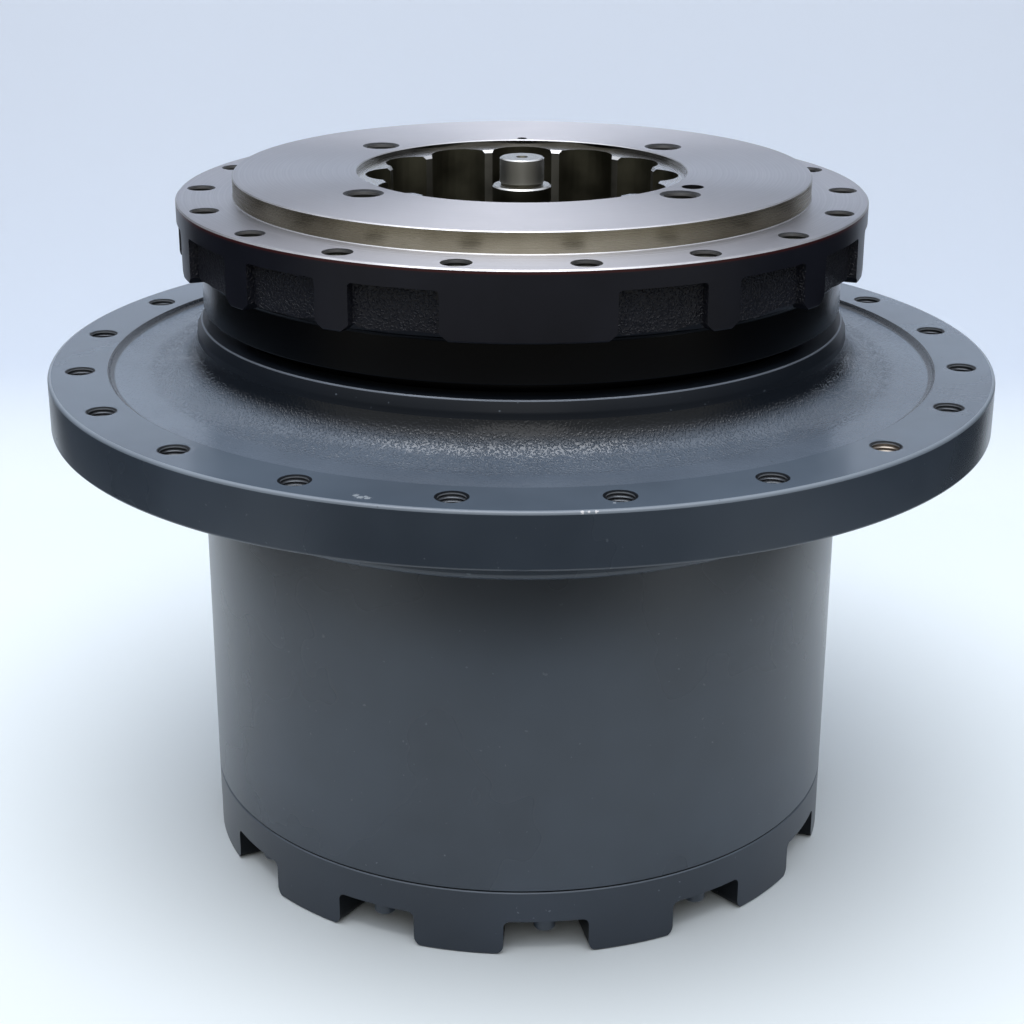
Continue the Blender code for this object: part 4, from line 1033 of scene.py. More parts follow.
SCREW_HOLE_TOP = 0.0588
THREAD_TURNS = 4
BARE_HOLE = 2

# %% The hub housing's profile
(
    PAINT_SMOOTH, PAINT_DRUM, PAINT_RING, PAINT_CAST, PAINT_RIM, PAINT_BEVEL, PAINT_EDGE,
    BORE, SINK, LIP, THREAD, BARE_THREAD,
) = range(12)


def housing_rows():
    rows = [
        (DRUM_BORE, DRUM_BOTTOM, PAINT_SMOOTH),
        (DRUM_RADIUS - EDGE_BREAK, DRUM_BOTTOM, SINK),
        (DRUM_RADIUS, DRUM_BOTTOM + EDGE_BREAK, PAINT_DRUM),
    ]
    drum_corner = (DRUM_RADIUS + DRUM_FILLET, COLLAR_BOTTOM - DRUM_FILLET)
    rows += arc(drum_corner, DRUM_FILLET, 180, 90, 3, PAINT_SMOOTH)
    collar_centre = (COLLAR_RADIUS - COLLAR_ROUND, COLLAR_BOTTOM + COLLAR_ROUND)
    rows += arc(collar_centre, COLLAR_ROUND, -90, 0, 5, PAINT_SMOOTH)
    collar_corner = (COLLAR_RADIUS + FLANGE_FILLET, FLANGE_BOTTOM - FLANGE_FILLET)
    rows += arc(collar_corner, FLANGE_FILLET, 180, 90, 4, PAINT_SMOOTH)
    foot_centre = (FLANGE_RADIUS - FLANGE_FOOT_ROUND, FLANGE_BOTTOM + FLANGE_FOOT_ROUND)
    rows += arc(foot_centre, FLANGE_FOOT_ROUND, -90, 0, 3, PAINT_SMOOTH)
    bevel_centre = (FLANGE_RADIUS - FLANGE_BEVEL, FLANGE_TOP - FLANGE_BEVEL)
    rows += arc(bevel_centre, FLANGE_BEVEL, 0, 90, 5, PAINT_BEVEL)
    rows.append((FLANGE_RADIUS - FLANGE_BEVEL - BEVEL_LEAD, FLANGE_TOP, PAINT_RING))
    rows += arc((SEAT_INNER, FLANGE_TOP - SEAT_EDGE), SEAT_EDGE, 90, 160, 2, PAINT_CAST)
    recess = FLANGE_TOP - RECESS_DEPTH
    step_centre = (SEAT_INNER - STEP_INSET - STEP_ROUND, recess + STEP_ROUND)
    rows += arc(step_centre, STEP_ROUND, -15, -90, 6, PAINT_CAST)
    fillet_centre = (NECK_ROOT + FILLET_RADIUS, recess + FILLET_RADIUS)
    rows += arc(fillet_centre, FILLET_RADIUS, -90, -165, 12, PAINT_CAST)
    rows += arc(fillet_centre, FILLET_RADIUS, -170, -180, 3, PAINT_RIM)
    rows += [
        (RIM_RADIUS, RIM_TOP - RIM_BREAK_DEPTH, PAINT_EDGE),
        (RIM_RADIUS - RIM_BREAK, RIM_TOP, PAINT_RIM),
        (RIM_BORE + RIM_BREAK, RIM_TOP, PAINT_EDGE),
        (RIM_BORE, RIM_TOP - RIM_BREAK, BORE),
        (RIM_BORE, SEAL_SHELF, BORE),
        (SEAL_BORE, SEAL_SHELF, BORE),
        (SEAL_BORE, SEAL_FLOOR, BORE),
        (BEARING_SEAT, SEAL_FLOOR, BORE),
        (BEARING_SEAT, UPPER_BEARING_FOOT, BORE),
        (BEARING_SHOULDER, UPPER_BEARING_FOOT, BORE),
        (BEARING_SHOULDER, LOWER_BEARING[1], BORE),
        (BEARING_SEAT, LOWER_BEARING[1], BORE),
        (BEARING_SEAT, LOWER_BEARING[0], BORE),
        (DRUM_BORE, LOWER_BEARING[0], BORE),
    ]
    return rows


print("housing profile has", len(housing_rows()), "points")


# %% The cuts in the hub housing
def housing_tools():
    tools = bmesh.new()
    for index in range(SPROCKET_HOLES):
        centre = on_circle(SPROCKET_CIRCLE, SPROCKET_BEARING + 2 * math.pi * index / SPROCKET_HOLES)
        wall = BARE_THREAD if index == BARE_HOLE else THREAD
        add_through_hole(
            tools, centre, FLANGE_TOP, FLANGE_BOTTOM, SPROCKET_CREST, SPROCKET_MOUTH, THREAD_PITCH,
            THREAD_TURNS, (SINK, LIP, wall),
        )
    for index in range(COVER_SCREWS):
        centre = on_circle(COVER_SCREW_CIRCLE, NOTCH_BEARING + 2 * math.pi * index / COVER_SCREWS)
        add_pin(tools, centre, COVER_SCREW_BORE, DRUM_BOTTOM - TOOL_SPARE, SCREW_HOLE_TOP, BORE)
    for index in range(KEY_HOLES):
        centre = on_circle(DRUM_BORE, KEY_BEARING + 2 * math.pi * index / KEY_HOLES)
        add_pin(tools, centre, KEY_HOLE_RADIUS, DRUM_BOTTOM - TOOL_SPARE, KEY_HOLE_TOP, BORE)
    return tools


# %% [markdown]
# ### Marks on the hub
#
# A few small marks make the paint look used. Each is a place, a reach and a colour for the ragged
# spot. The corner of the step behind the bolt ring is darkened with painted shade, which is a ring.
# One tapped hole at the right has been used, so its thread is bare.

# %% Cut and finish the hub housing
BEVEL_KNOCK_HEIGHT = FLANGE_TOP - 0.0005
KNOCKS = (
    ((-0.0770, -0.2487, FLANGE_TOP), 0.0015, CHIP),
    ((-0.0747, -0.2512, FLANGE_TOP), 0.0017, CHIP),
    ((-0.0712, -0.2524, FLANGE_TOP), 0.0016, CHIP),
    ((-0.0722, -0.2502, FLANGE_TOP), 0.0011, CHIP),
    ((0.0436, -0.2572, FLANGE_TOP), 0.0008, CHIP),
)
BEVEL_KNOCKS = (
    ((0.0284, -0.2680, BEVEL_KNOCK_HEIGHT), 0.0008, STEEL_EDGE),
    ((0.0316, -0.2677, BEVEL_KNOCK_HEIGHT), 0.0006, STEEL_EDGE),
    ((0.0348, -0.2673, BEVEL_KNOCK_HEIGHT), 0.0008, STEEL_EDGE),
)
# Painted shade in the corner of the step behind the bolt ring, as a ring.
STEP_SHADE_RING = (SEAT_INNER - 0.0012, FLANGE_TOP - 0.0008, 0.0042)
housing_finishes = [
    hub_paint("hub_paint_smooth", DRUM_TONES, roughness=0.28),
    # Painted shade under the collar on the drum.
    hub_paint("hub_paint_drum_painted_shade", DRUM_TONES, roughness=0.28, shaded=True),
    # Painted light: a lighter copy of the paint on the bolt ring, which looks up.
    hub_paint("hub_paint_bolt_ring_lit", RING_LIT_TONES, roughness=0.19, ior=1.58, spots=KNOCKS),
    # Painted highlight on the casting, painted shade towards the seal and in the corner of the step.
    cast_paint("hub_paint_cast_highlight_and_shade", roughness=0.17, step_shade_ring=STEP_SHADE_RING),
    # Painted shade on the rim round the seal.
    hub_paint("hub_paint_rim_painted_shade", RIM_SHADE_TONES, roughness=0.36, ior=1.28),
    # Painted highlight on the bevel.
    hub_paint("hub_paint_bevel_highlight", BEVEL_HIGHLIGHT_TONES, roughness=0.30, spots=BEVEL_KNOCKS),
    # Painted highlight on the broken edges of the rim.
    plain_edge("hub_edge_painted_highlight", screen(112, 120, 132), roughness=0.40, metallic=0.3),
    oiled_steel("hub_bore", screen(60, 60, 62), roughness=0.4),
    # Painted shade in the mouths of the holes and at the joint with the cover.
    hub_paint("hub_paint_shade", SHADE_TONES, roughness=0.45, ior=1.25),
    plain_edge("hub_hole_lip", screen(190, 196, 204), roughness=0.35, metallic=0.6),
    oiled_steel("hub_thread", screen(92, 96, 102), roughness=0.35, metallic=0.7),
    oiled_steel("hub_bare_thread", screen(176, 166, 156), roughness=0.34, metallic=0.9),
]
mesh = bmesh.new()
add_turned(mesh, housing_rows(), BODY_STEPS)
hub = new_object("hub_housing_turned", mesh, housing_finishes)
cut_piece(hub, housing_tools(), housing_finishes)
smooth_piece(hub)
dress(hub, "housing", "housing_paint", "hub_housing")

# %% [markdown]
# ## The spindle
#
# The spindle stays still on the machine while the hub turns. From the top: a raised disc for the
# motor, the flange for the track frame with eighteen tapped holes, a short neck, and a skirt that
# dips into the rim of the hub. Between the bolt lugs the casting is pocketed to save weight. Two
# opposite lugs are wide. The bore is scalloped, because the ears of the brake plates run in it.

# %% Sizes of the spindle
SPINDLE_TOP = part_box("spindle")[1].z
SPINDLE_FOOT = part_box("spindle")[0].z
FRAME_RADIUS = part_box("spindle")[1].x
FRAME_TOP = 0.3846
FRAME_BOTTOM = 0.3477
DISC_RADIUS = 0.1625
NECK_RADIUS = 0.1814
NECK_BOTTOM = 0.3234
SKIRT_RADIUS = 0.165
SKIRT_BOTTOM = 0.3006
SEAL_ROOF = 0.3211
SHOULDER_RADIUS = 0.132
JOURNAL_RADIUS = 0.120
JOURNAL_TOP = 0.2793
NUT_THREAD_RADIUS = 0.112
PILOT_RADIUS = 0.093
PILOT_LEDGE = 0.3930
BORE_FLOOR = 0.285
PASSAGE_RADIUS = 0.0185
CAVITY_TOP = 0.265
CAVITY_RADIUS = 0.0815
LAND_RADIUS = 0.0775
SCALLOPS = 12
SCALLOP_RADIUS = 0.0186
SCALLOP_CIRCLE = 0.0699
SCALLOP_STEPS = 14
LAND_LEAD_IN = 0.0016
FRAME_HOLES = 18
FRAME_CIRCLE = 0.1817
FRAME_BEARING = math.radians(10.0)
FRAME_MOUTH = 0.0080
FRAME_CREST = 0.0068
FRAME_DEPTH = 0.030
FRAME_TURNS = 6
FRAME_BREAK = 0.0007
FRAME_BREAK_DEPTH = 0.0008
FRAME_FOOT_ROUND = 0.0012
MOTOR_HOLE = (0.0842, 0.0710)
MOTOR_MOUTH = 0.0110
MOTOR_CREST = 0.0088
MOTOR_PITCH = 0.0025
MOTOR_DEPTH = 0.042
MOTOR_TURNS = 6
PORT_CIRCLE = 0.1053
PORT_BEARING = math.radians(61.4)
PORT_RADIUS = 0.006
DOWEL_CIRCLE = 0.098
DOWEL_RADIUS = 0.003
PORT_SPARE = 0.003
PORT_DEPTH = 0.012
SKIRT_FILLET = 0.0015
NECK_BREAK = 0.0008
NECK_FILLET = 0.003
DISC_BREAK = 0.0006
DISC_CORNER = 0.0004
PILOT_BREAK = 0.0005
POCKET_HALF = math.radians(7.1)
POCKET_TURN = math.radians(1.1)
POCKET_WALL = 0.1893
POCKET_TOP = 0.3734
POCKET_CORNER = 0.0022
LUG_ROUND = 0.005

# %% Build the spindle's turned form
(
    TOP, WALL, EDGE, FLANK, POCKET, NECK, PILOT_WALL, SCALLOP, LAND, LEDGE, DARK_SINK, TAPPED, INNER,
) = range(13)


def spindle_rows():
    rows = [
        (CAVITY_RADIUS, SPINDLE_FOOT, INNER),
        (NUT_THREAD_RADIUS, SPINDLE_FOOT, INNER),
        (NUT_THREAD_RADIUS, LOWER_BEARING[0], INNER),
        (JOURNAL_RADIUS, LOWER_BEARING[0], INNER),
        (JOURNAL_RADIUS, JOURNAL_TOP, INNER),
        (SHOULDER_RADIUS, JOURNAL_TOP, INNER),
        (SHOULDER_RADIUS, SEAL_ROOF, INNER),
        (SEAL_BORE, SEAL_ROOF, INNER),
        (SEAL_BORE, SKIRT_BOTTOM, NECK),
        (SKIRT_RADIUS, SKIRT_BOTTOM, NECK),
    ]
    skirt_corner = (SKIRT_RADIUS + SKIRT_FILLET, NECK_BOTTOM - SKIRT_FILLET)
    rows += arc(skirt_corner, SKIRT_FILLET, 180, 90, 3, NECK)
    neck_edge = (NECK_RADIUS - NECK_BREAK, NECK_BOTTOM + NECK_BREAK)
    rows += arc(neck_edge, NECK_BREAK, -90, 0, 2, NECK)
    neck_corner = (NECK_RADIUS + NECK_FILLET, FRAME_BOTTOM - NECK_FILLET)
    rows += arc(neck_corner, NECK_FILLET, 180, 90, 4, NECK)
    frame_foot = (FRAME_RADIUS - FRAME_FOOT_ROUND, FRAME_BOTTOM + FRAME_FOOT_ROUND)
    rows += arc(frame_foot, FRAME_FOOT_ROUND, -90, 0, 3, FLANK)
    rows += [
        (FRAME_RADIUS, FRAME_TOP - FRAME_BREAK_DEPTH, EDGE),
        (FRAME_RADIUS - FRAME_BREAK, FRAME_TOP, TOP),
        (DISC_RADIUS + DISC_CORNER, FRAME_TOP, EDGE),
        (DISC_RADIUS, FRAME_TOP + DISC_CORNER, WALL),
        (DISC_RADIUS, SPINDLE_TOP - DISC_BREAK, EDGE),
        (DISC_RADIUS - DISC_BREAK, SPINDLE_TOP, TOP),
        (PILOT_RADIUS + PILOT_BREAK, SPINDLE_TOP, EDGE),
        (PILOT_RADIUS, SPINDLE_TOP - PILOT_BREAK, PILOT_WALL),
        (PILOT_RADIUS, PILOT_LEDGE, LEDGE),
        (PASSAGE_RADIUS, PILOT_LEDGE, INNER),
        (PASSAGE_RADIUS, CAVITY_TOP, INNER),
        (CAVITY_RADIUS, CAVITY_TOP, INNER),
    ]
    return rows


def scallop_outline():
    """The scalloped bore seen from above; the lands between the scallops end on a circle."""
    reach = LAND_RADIUS ** 2 + SCALLOP_CIRCLE ** 2 - SCALLOP_RADIUS ** 2
    half_angle = math.acos(reach / (2 * LAND_RADIUS * SCALLOP_CIRCLE))
    points = []
    for scallop in range(SCALLOPS):
        middle = 2 * math.pi * scallop / SCALLOPS
        for step in range(SCALLOP_STEPS + 1):
            away = half_angle * math.sin(math.pi / 2 * (2 * step / SCALLOP_STEPS - 1))
            aside = SCALLOP_CIRCLE * math.sin(away)
            radius = SCALLOP_CIRCLE * math.cos(away) + math.sqrt(max(0.0, SCALLOP_RADIUS ** 2 - aside ** 2))
            points.append(on_circle(radius, middle + away))
    return points


# %% [markdown]
# ### Cast pockets
#
# A pocket is a shallow box with rounded upper corners, open at the bottom. A second tool trims the
# rough wall behind it along a crooked line, and rounds the lower corners of the lugs. Each pocket
# draws its own line from its number, so the castings look alike and none is the same.

# %% Tools for the pockets
POCKET_SPARE = 0.012
CORNER_STEPS = 4
TRIM_STEPS = 12
TRIM_WAVES = ((1.0, 5.1, 1.7), (0.45, 13.0, 2.9))
TRIM_LEVEL = 1.1
TRIM_WAVE_SHARE = 0.35
TRIM_SLOPE_SHARE = 0.9
LUG_LIFT = 0.8
TRIM_LIFT = 0.0022
TRIM_INNER = 0.1850
TRIM_SPARE = 0.015
TRIM_START = FRAME_BOTTOM - 0.0006


def pocket_outline(middle):
    """Rounded at the upper corners and running out below the flange."""
    corner = POCKET_CORNER / FRAME_RADIUS
    low = FRAME_BOTTOM - POCKET_SPARE
    points = [(middle - POCKET_HALF, low)]
    for side, start in ((-1, 180), (1, 90)):
        for step in range(CORNER_STEPS + 1):
            turn = math.radians(start - 90 * step / CORNER_STEPS)
            points.append((
                middle + side * (POCKET_HALF - corner) + corner * math.cos(turn),
                POCKET_TOP - POCKET_CORNER + POCKET_CORNER * math.sin(turn),
            ))
    points.append((middle + POCKET_HALF, low))
    return points


def lug_foot(edge, side):
    """Rounded foot of the lug beside a pocket's edge, from the lug inwards."""
    lug = LUG_ROUND / FRAME_RADIUS
    points = [(edge + side * lug, FRAME_BOTTOM - TRIM_SPARE), (edge + side * lug, TRIM_START)]
    for step in range(1, CORNER_STEPS + 1):
        turn = math.radians(90 * step / CORNER_STEPS)
        points.append((
            edge + side * lug * math.cos(turn),
            FRAME_BOTTOM + LUG_ROUND * (1 - math.cos(turn)) * LUG_LIFT,
        ))
    return points


def trim_outline(index, middle):
    """Crooked lower edge of the pocket wall, with the rounded feet of the lugs at both ends."""
    points = lug_foot(middle - POCKET_HALF, -1)
    for step in range(1, TRIM_STEPS):
        share = step / TRIM_STEPS
        wave = sum(size * math.sin(pace * share + shift * index) for size, pace, shift in TRIM_WAVES)
        slope = math.sin(0.9 * index + 0.6) * (share - 0.5)
        height = FRAME_BOTTOM + TRIM_LIFT * (TRIM_LEVEL + TRIM_WAVE_SHARE * wave + TRIM_SLOPE_SHARE * slope)
        points.append((middle + POCKET_HALF * (2 * share - 1), height))
    return points + lug_foot(middle + POCKET_HALF, 1)[::-1]


def pocket_tools():
    pockets = bmesh.new()
    trims = bmesh.new()
    for index in range(FRAME_HOLES):
        if index % (FRAME_HOLES // 2) == 0:
            continue
        middle = POCKET_TURN + 2 * math.pi * index / FRAME_HOLES
        add_radial_block(pockets, pocket_outline(middle), POCKET_WALL, FRAME_RADIUS + POCKET_SPARE, POCKET)
        add_radial_block(trims, trim_outline(index, middle), TRIM_INNER, FRAME_RADIUS + TRIM_SPARE, FLANK)
    return pockets, trims


# %% The other tools of the spindle
def lead_in_tool():
    """A cone that chamfers the tops of the lands, where the brake plates are pushed in."""
    cone = bmesh.new()
    rows = [
        (0.0, PILOT_LEDGE + LAND_LEAD_IN, LEDGE),
        (LAND_RADIUS + 2 * LAND_LEAD_IN, PILOT_LEDGE + LAND_LEAD_IN, LEDGE),
        (LAND_RADIUS, PILOT_LEDGE - LAND_LEAD_IN, LEDGE),
        (0.0, PILOT_LEDGE - LAND_LEAD_IN, LEDGE),
    ]
    add_turned(cone, rows, BODY_STEPS)
    return cone


def spindle_tools():
    tools = bmesh.new()
    outline = scallop_outline()
    add_column(tools, [(BORE_FLOOR, outline), (PILOT_LEDGE + LAND_LEAD_IN, outline)], [SCALLOP])
    for index, face in enumerate(tools.faces):
        if len(face.verts) == 4 and index % (SCALLOP_STEPS + 1) == SCALLOP_STEPS:
            face.material_index = LAND
    for index in range(FRAME_HOLES):
        centre = on_circle(FRAME_CIRCLE, FRAME_BEARING + 2 * math.pi * index / FRAME_HOLES)
        add_tapped_hole(
            tools, centre, FRAME_TOP, FRAME_DEPTH, FRAME_CREST, FRAME_MOUTH, THREAD_PITCH, FRAME_TURNS,
            (DARK_SINK, EDGE, TAPPED),
        )
    for side in (-1, 1):
        for end in (-1, 1):
            centre = (side * MOTOR_HOLE[0], end * MOTOR_HOLE[1])
            add_tapped_hole(
                tools, centre, SPINDLE_TOP, MOTOR_DEPTH, MOTOR_CREST, MOTOR_MOUTH, MOTOR_PITCH,
                MOTOR_TURNS, (DARK_SINK, EDGE, TAPPED),
            )
    for radius, place in (
        (PORT_RADIUS, on_circle(PORT_CIRCLE, PORT_BEARING)),
        (DOWEL_RADIUS, on_circle(DOWEL_CIRCLE, math.pi)),
    ):
        add_pin(tools, place, radius, SPINDLE_TOP + PORT_SPARE, SPINDLE_TOP - PORT_DEPTH, DARK_SINK)
    return tools


# %% Cut and finish the spindle
TINT_RING = (FRAME_RADIUS, FRAME_TOP - 0.0012, 0.0013)
spindle_finishes = [
    turned_steel(
        "spindle_top", STEEL_TOP, STEEL_TOP_WORN, roughness=0.42, rings=900.0, ring_bump=0.25, brushed=0.72,
    ),
    turned_steel(
        "spindle_disc_wall", STEEL_WALL, STEEL_WALL_STAIN, roughness=0.30, rings=1500.0, ring_bump=0.06,
        brushed=0.3,
    ),
    plain_edge("spindle_bright_edge", STEEL_EDGE, roughness=0.45, metallic=1.0),
    flank_coat("spindle_flank", FLANK_TONES, roughness=0.33, tint_ring=TINT_RING),
    flank_coat("spindle_cast_pocket", FLANK_TONES, roughness=0.40, grain=0.75),
    # Painted shade under the flange.
    flank_coat("spindle_neck_painted_shade", NECK_SHADE_TONES, roughness=0.24, ior=1.32),
    oiled_steel("spindle_pilot_wall", STEEL_PILOT, roughness=0.16),
    oiled_steel("spindle_scallop", screen(100, 98, 84), roughness=0.44),
    oiled_steel("spindle_land", screen(150, 148, 140), roughness=0.4),
    turned_steel("spindle_ledge", STEEL_BORE, STEEL_TOP, roughness=0.26, rings=1200.0, ring_bump=0.05),
    # Painted shade in the mouths of the tapped holes.
    flank_coat("spindle_sink_painted_shade", NECK_SHADE_TONES, roughness=0.45),
    oiled_steel("spindle_thread", screen(108, 108, 104), roughness=0.34),
    oiled_steel("spindle_inside", screen(96, 96, 98), roughness=0.4),
]
mesh = bmesh.new()
add_turned(mesh, spindle_rows(), BODY_STEPS)
spindle = new_object("spindle_turned", mesh, spindle_finishes)
pockets, trims = pocket_tools()
cut_piece(spindle, pockets, spindle_finishes, one_way=True)
cut_piece(spindle, trims, spindle_finishes, one_way=True)
cut_piece(spindle, spindle_tools(), spindle_finishes)
cut_piece(spindle, lead_in_tool(), spindle_finishes)
smooth_piece(spindle)
dress(spindle, "spindle", "machined_spindle", "spindle")

# %% [markdown]
# ## The end cover
#
# The cover closes the gears at the bottom. Its skirt is cut into twelve lugs, which give a tool
# something to hold and let the screw heads in the notches be reached. The corners of the notches are
# round because a milling cutter made them, so the tool for each notch is one outline with four arcs.

# %% Sizes of the end cover
COVER_JOINT = 0.0389
CAVITY_ROOF = 0.0244
SKIRT_BORE = 0.1598
SPIGOT_RADIUS = 0.1647
SPIGOT_WALL = 0.0125
SPIGOT_CHAMFER = 0.003
NOTCH_ROOF = 0.0208
NOTCH_HALF = math.radians(7.25)
NOTCH_CORNER = 0.0036
LUG_CORNER = 0.0060
COVER_SPARE = 0.010
COVER_FILLET = 0.003
FOOT_BREAK = 0.0008
PIN_SPARE = 0.002
LUG_STEPS = 6
NOTCH_STEPS = 5
PLUG_CIRCLE = 0.110
PLUG_BORE = 0.0123
PLUG_BEARINGS = {"drain_plug": 0.0, "level_plug": math.pi / 2, "filler_plug": math.pi}
JOINT_BREAK = 0.0006

# %% Build the end cover
COVER_PAINT, COVER_EDGE, COVER_BORE, COVER_SHADE = range(4)


def cover_rows():
    rows = [(0.0, CAVITY_ROOF, COVER_PAINT)]
    roof_corner = (SKIRT_BORE - COVER_FILLET, CAVITY_ROOF - COVER_FILLET)
    rows += arc(roof_corner, COVER_FILLET, 90, 0, 4, COVER_PAINT)
    rows += [
        (SKIRT_BORE, FOOT_BREAK, COVER_PAINT),
        (SKIRT_BORE + FOOT_BREAK, 0.0, COVER_PAINT),
        (DRUM_RADIUS - FOOT_BREAK, 0.0, COVER_PAINT),
        (DRUM_RADIUS, FOOT_BREAK, COVER_PAINT),
        (DRUM_RADIUS, COVER_JOINT - JOINT_BREAK, COVER_EDGE),
        (DRUM_RADIUS - JOINT_BREAK, COVER_JOINT, COVER_BORE),
        (SPIGOT_RADIUS, COVER_JOINT, COVER_BORE),
        (SPIGOT_RADIUS, COVER_TOP - SPIGOT_CHAMFER, COVER_BORE),
        (SPIGOT_RADIUS - SPIGOT_CHAMFER, COVER_TOP, COVER_BORE),
        (SPIGOT_RADIUS - SPIGOT_WALL, COVER_TOP, COVER_BORE),
        (SPIGOT_RADIUS - SPIGOT_WALL, COVER_JOINT, COVER_BORE),
        (0.0, COVER_JOINT, COVER_BORE),
    ]
    return rows


def notch_outline(middle):
    """Half-round feet of the lugs below, rounded corners under the roof above."""
    corner = NOTCH_CORNER / DRUM_RADIUS
    foot = LUG_CORNER / DRUM_RADIUS
    left = [(middle - NOTCH_HALF - foot, -COVER_SPARE)]
    for step in range(LUG_STEPS + 1):
        turn = math.radians(90 * step / LUG_STEPS)
        left.append((
            middle - NOTCH_HALF - foot + foot * math.sin(turn),
            LUG_CORNER - LUG_CORNER * math.cos(turn),
        ))
    for step in range(NOTCH_STEPS + 1):
        turn = math.radians(180 - 90 * step / NOTCH_STEPS)
        left.append((
            middle - NOTCH_HALF + corner + corner * math.cos(turn),
            NOTCH_ROOF - NOTCH_CORNER + NOTCH_CORNER * math.sin(turn),
        ))
    right = [(2 * middle - bearing, height) for bearing, height in reversed(left)]
    return left + right


def cover_tools():
    tools = bmesh.new()
    holes = bmesh.new()
    for index in range(COVER_SCREWS):
        bearing = NOTCH_BEARING + 2 * math.pi * index / COVER_SCREWS
        inner = SKIRT_BORE - COVER_SPARE
        add_radial_block(tools, notch_outline(bearing), inner, DRUM_RADIUS + COVER_SPARE, COVER_SHADE)
        centre = on_circle(COVER_SCREW_CIRCLE, bearing)
        add_pin(holes, centre, COVER_SCREW_BORE, NOTCH_ROOF - PIN_SPARE, COVER_TOP + PIN_SPARE, COVER_BORE)
    for bearing in PLUG_BEARINGS.values():
        centre = on_circle(PLUG_CIRCLE, bearing)
        add_pin(holes, centre, PLUG_BORE, CAVITY_ROOF - PIN_SPARE, COVER_TOP + PIN_SPARE, COVER_BORE)
    return tools, holes


# %% Cut and finish the end cover
cover_finishes = [
    hub_paint("cover_paint", COVER_TONES, roughness=0.32),
    # Painted highlight on the broken edge of the joint.
    plain_edge("cover_lip_painted_highlight", screen(92, 102, 114), roughness=0.4, metallic=0.1),
    oiled_steel("cover_inside", screen(60, 60, 62), roughness=0.45),
    # Painted shade in the notches.
    hub_paint("cover_notch_painted_shade", SHADE_TONES, roughness=0.45, ior=1.25),
]
mesh = bmesh.new()
add_turned(mesh, cover_rows(), BODY_STEPS)
cover = new_object("end_cover_milled", mesh, cover_finishes)
notches, holes = cover_tools()
cut_piece(cover, notches, cover_finishes)
cut_piece(cover, holes, cover_finishes)
smooth_piece(cover)
dress(cover, "housing", "housing_paint", "end_cover")

# %% [markdown]
# ## Screws and oil plugs
#
# The heads in the notches were painted with the cover and look like smooth buttons. The three oil
# plugs under the cover have a hexagon socket. Copies start from one shape, and each stands for its
# own measured piece, so that it can be taken apart later.

# %% Build screws and plugs
SCREW_LOW, SCREW_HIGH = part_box("cover_screw_01")
SCREW_HEAD_RADIUS = 0.006
SCREW_HEAD_ROUND = 0.002
SCREW_HEAD_TOP = 0.0205
SCREW_SHANK = 0.0040
PLUG_LOW, PLUG_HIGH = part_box("drain_plug")
PLUG_HEAD_RADIUS = 0.016
PLUG_HEAD_TOP = 0.0241
PLUG_SHANK = 0.0120
SOCKET_FLAT = 0.0060
SOCKET_DEPTH = 0.008
PLUG_CHAMFER = 0.0015


def place_copy(data, name, finish, centre, body, slot, node):
    piece = bpy.data.objects.new(name, data.copy())
    bpy.context.scene.collection.objects.link(piece)
    for corner in piece.data.vertices:
        corner.co.x += centre[0]
        corner.co.y += centre[1]
    piece.data.materials.clear()
    piece.data.materials.append(finish)
    smooth_piece(piece)
    dress(piece, body, slot, node)
    return piece


def screw_mesh():
    mesh = bmesh.new()
    rows = [(0.0, SCREW_LOW.z, 0)]
    rows += arc(
        (SCREW_HEAD_RADIUS - SCREW_HEAD_ROUND, SCREW_LOW.z + SCREW_HEAD_ROUND), SCREW_HEAD_ROUND, -90, 0, 4,
    )
    rows += [
        (SCREW_HEAD_RADIUS, SCREW_HEAD_TOP, 0), (SCREW_SHANK, SCREW_HEAD_TOP, 0),
        (SCREW_SHANK, SCREW_HIGH.z, 0), (0.0, SCREW_HIGH.z, 0),
    ]
    add_turned(mesh, rows, HOLE_STEPS)
    bmesh.ops.recalc_face_normals(mesh, faces=mesh.faces[:])
    data = bpy.data.meshes.new("screw_shape")
    mesh.to_mesh(data)
    mesh.free()
    return data


def plug_mesh():
    mesh = bmesh.new()
    rows = [
        (0.0, PLUG_LOW.z, 0), (PLUG_HEAD_RADIUS - PLUG_CHAMFER, PLUG_LOW.z, 0),
        (PLUG_HEAD_RADIUS, PLUG_LOW.z + PLUG_CHAMFER, 0), (PLUG_HEAD_RADIUS, PLUG_HEAD_TOP, 0),
        (PLUG_SHANK, PLUG_HEAD_TOP, 0), (PLUG_SHANK, PLUG_HIGH.z, 0), (0.0, PLUG_HIGH.z, 0),
    ]
    add_turned(mesh, rows, 2 * HOLE_STEPS)
    plug = new_object("plug_shape", mesh, [])
    tool = bmesh.new()
    corner = SOCKET_FLAT / math.cos(math.pi / 6)
    hexagon = [on_circle(corner, math.pi / 3 * index) for index in range(6)]
    add_column(tool, [(PLUG_LOW.z - PIN_SPARE, hexagon), (PLUG_LOW.z + SOCKET_DEPTH, hexagon)], [0])
    cut_piece(plug, tool, [])
    data = plug.data
    bpy.data.objects.remove(plug)
    return data


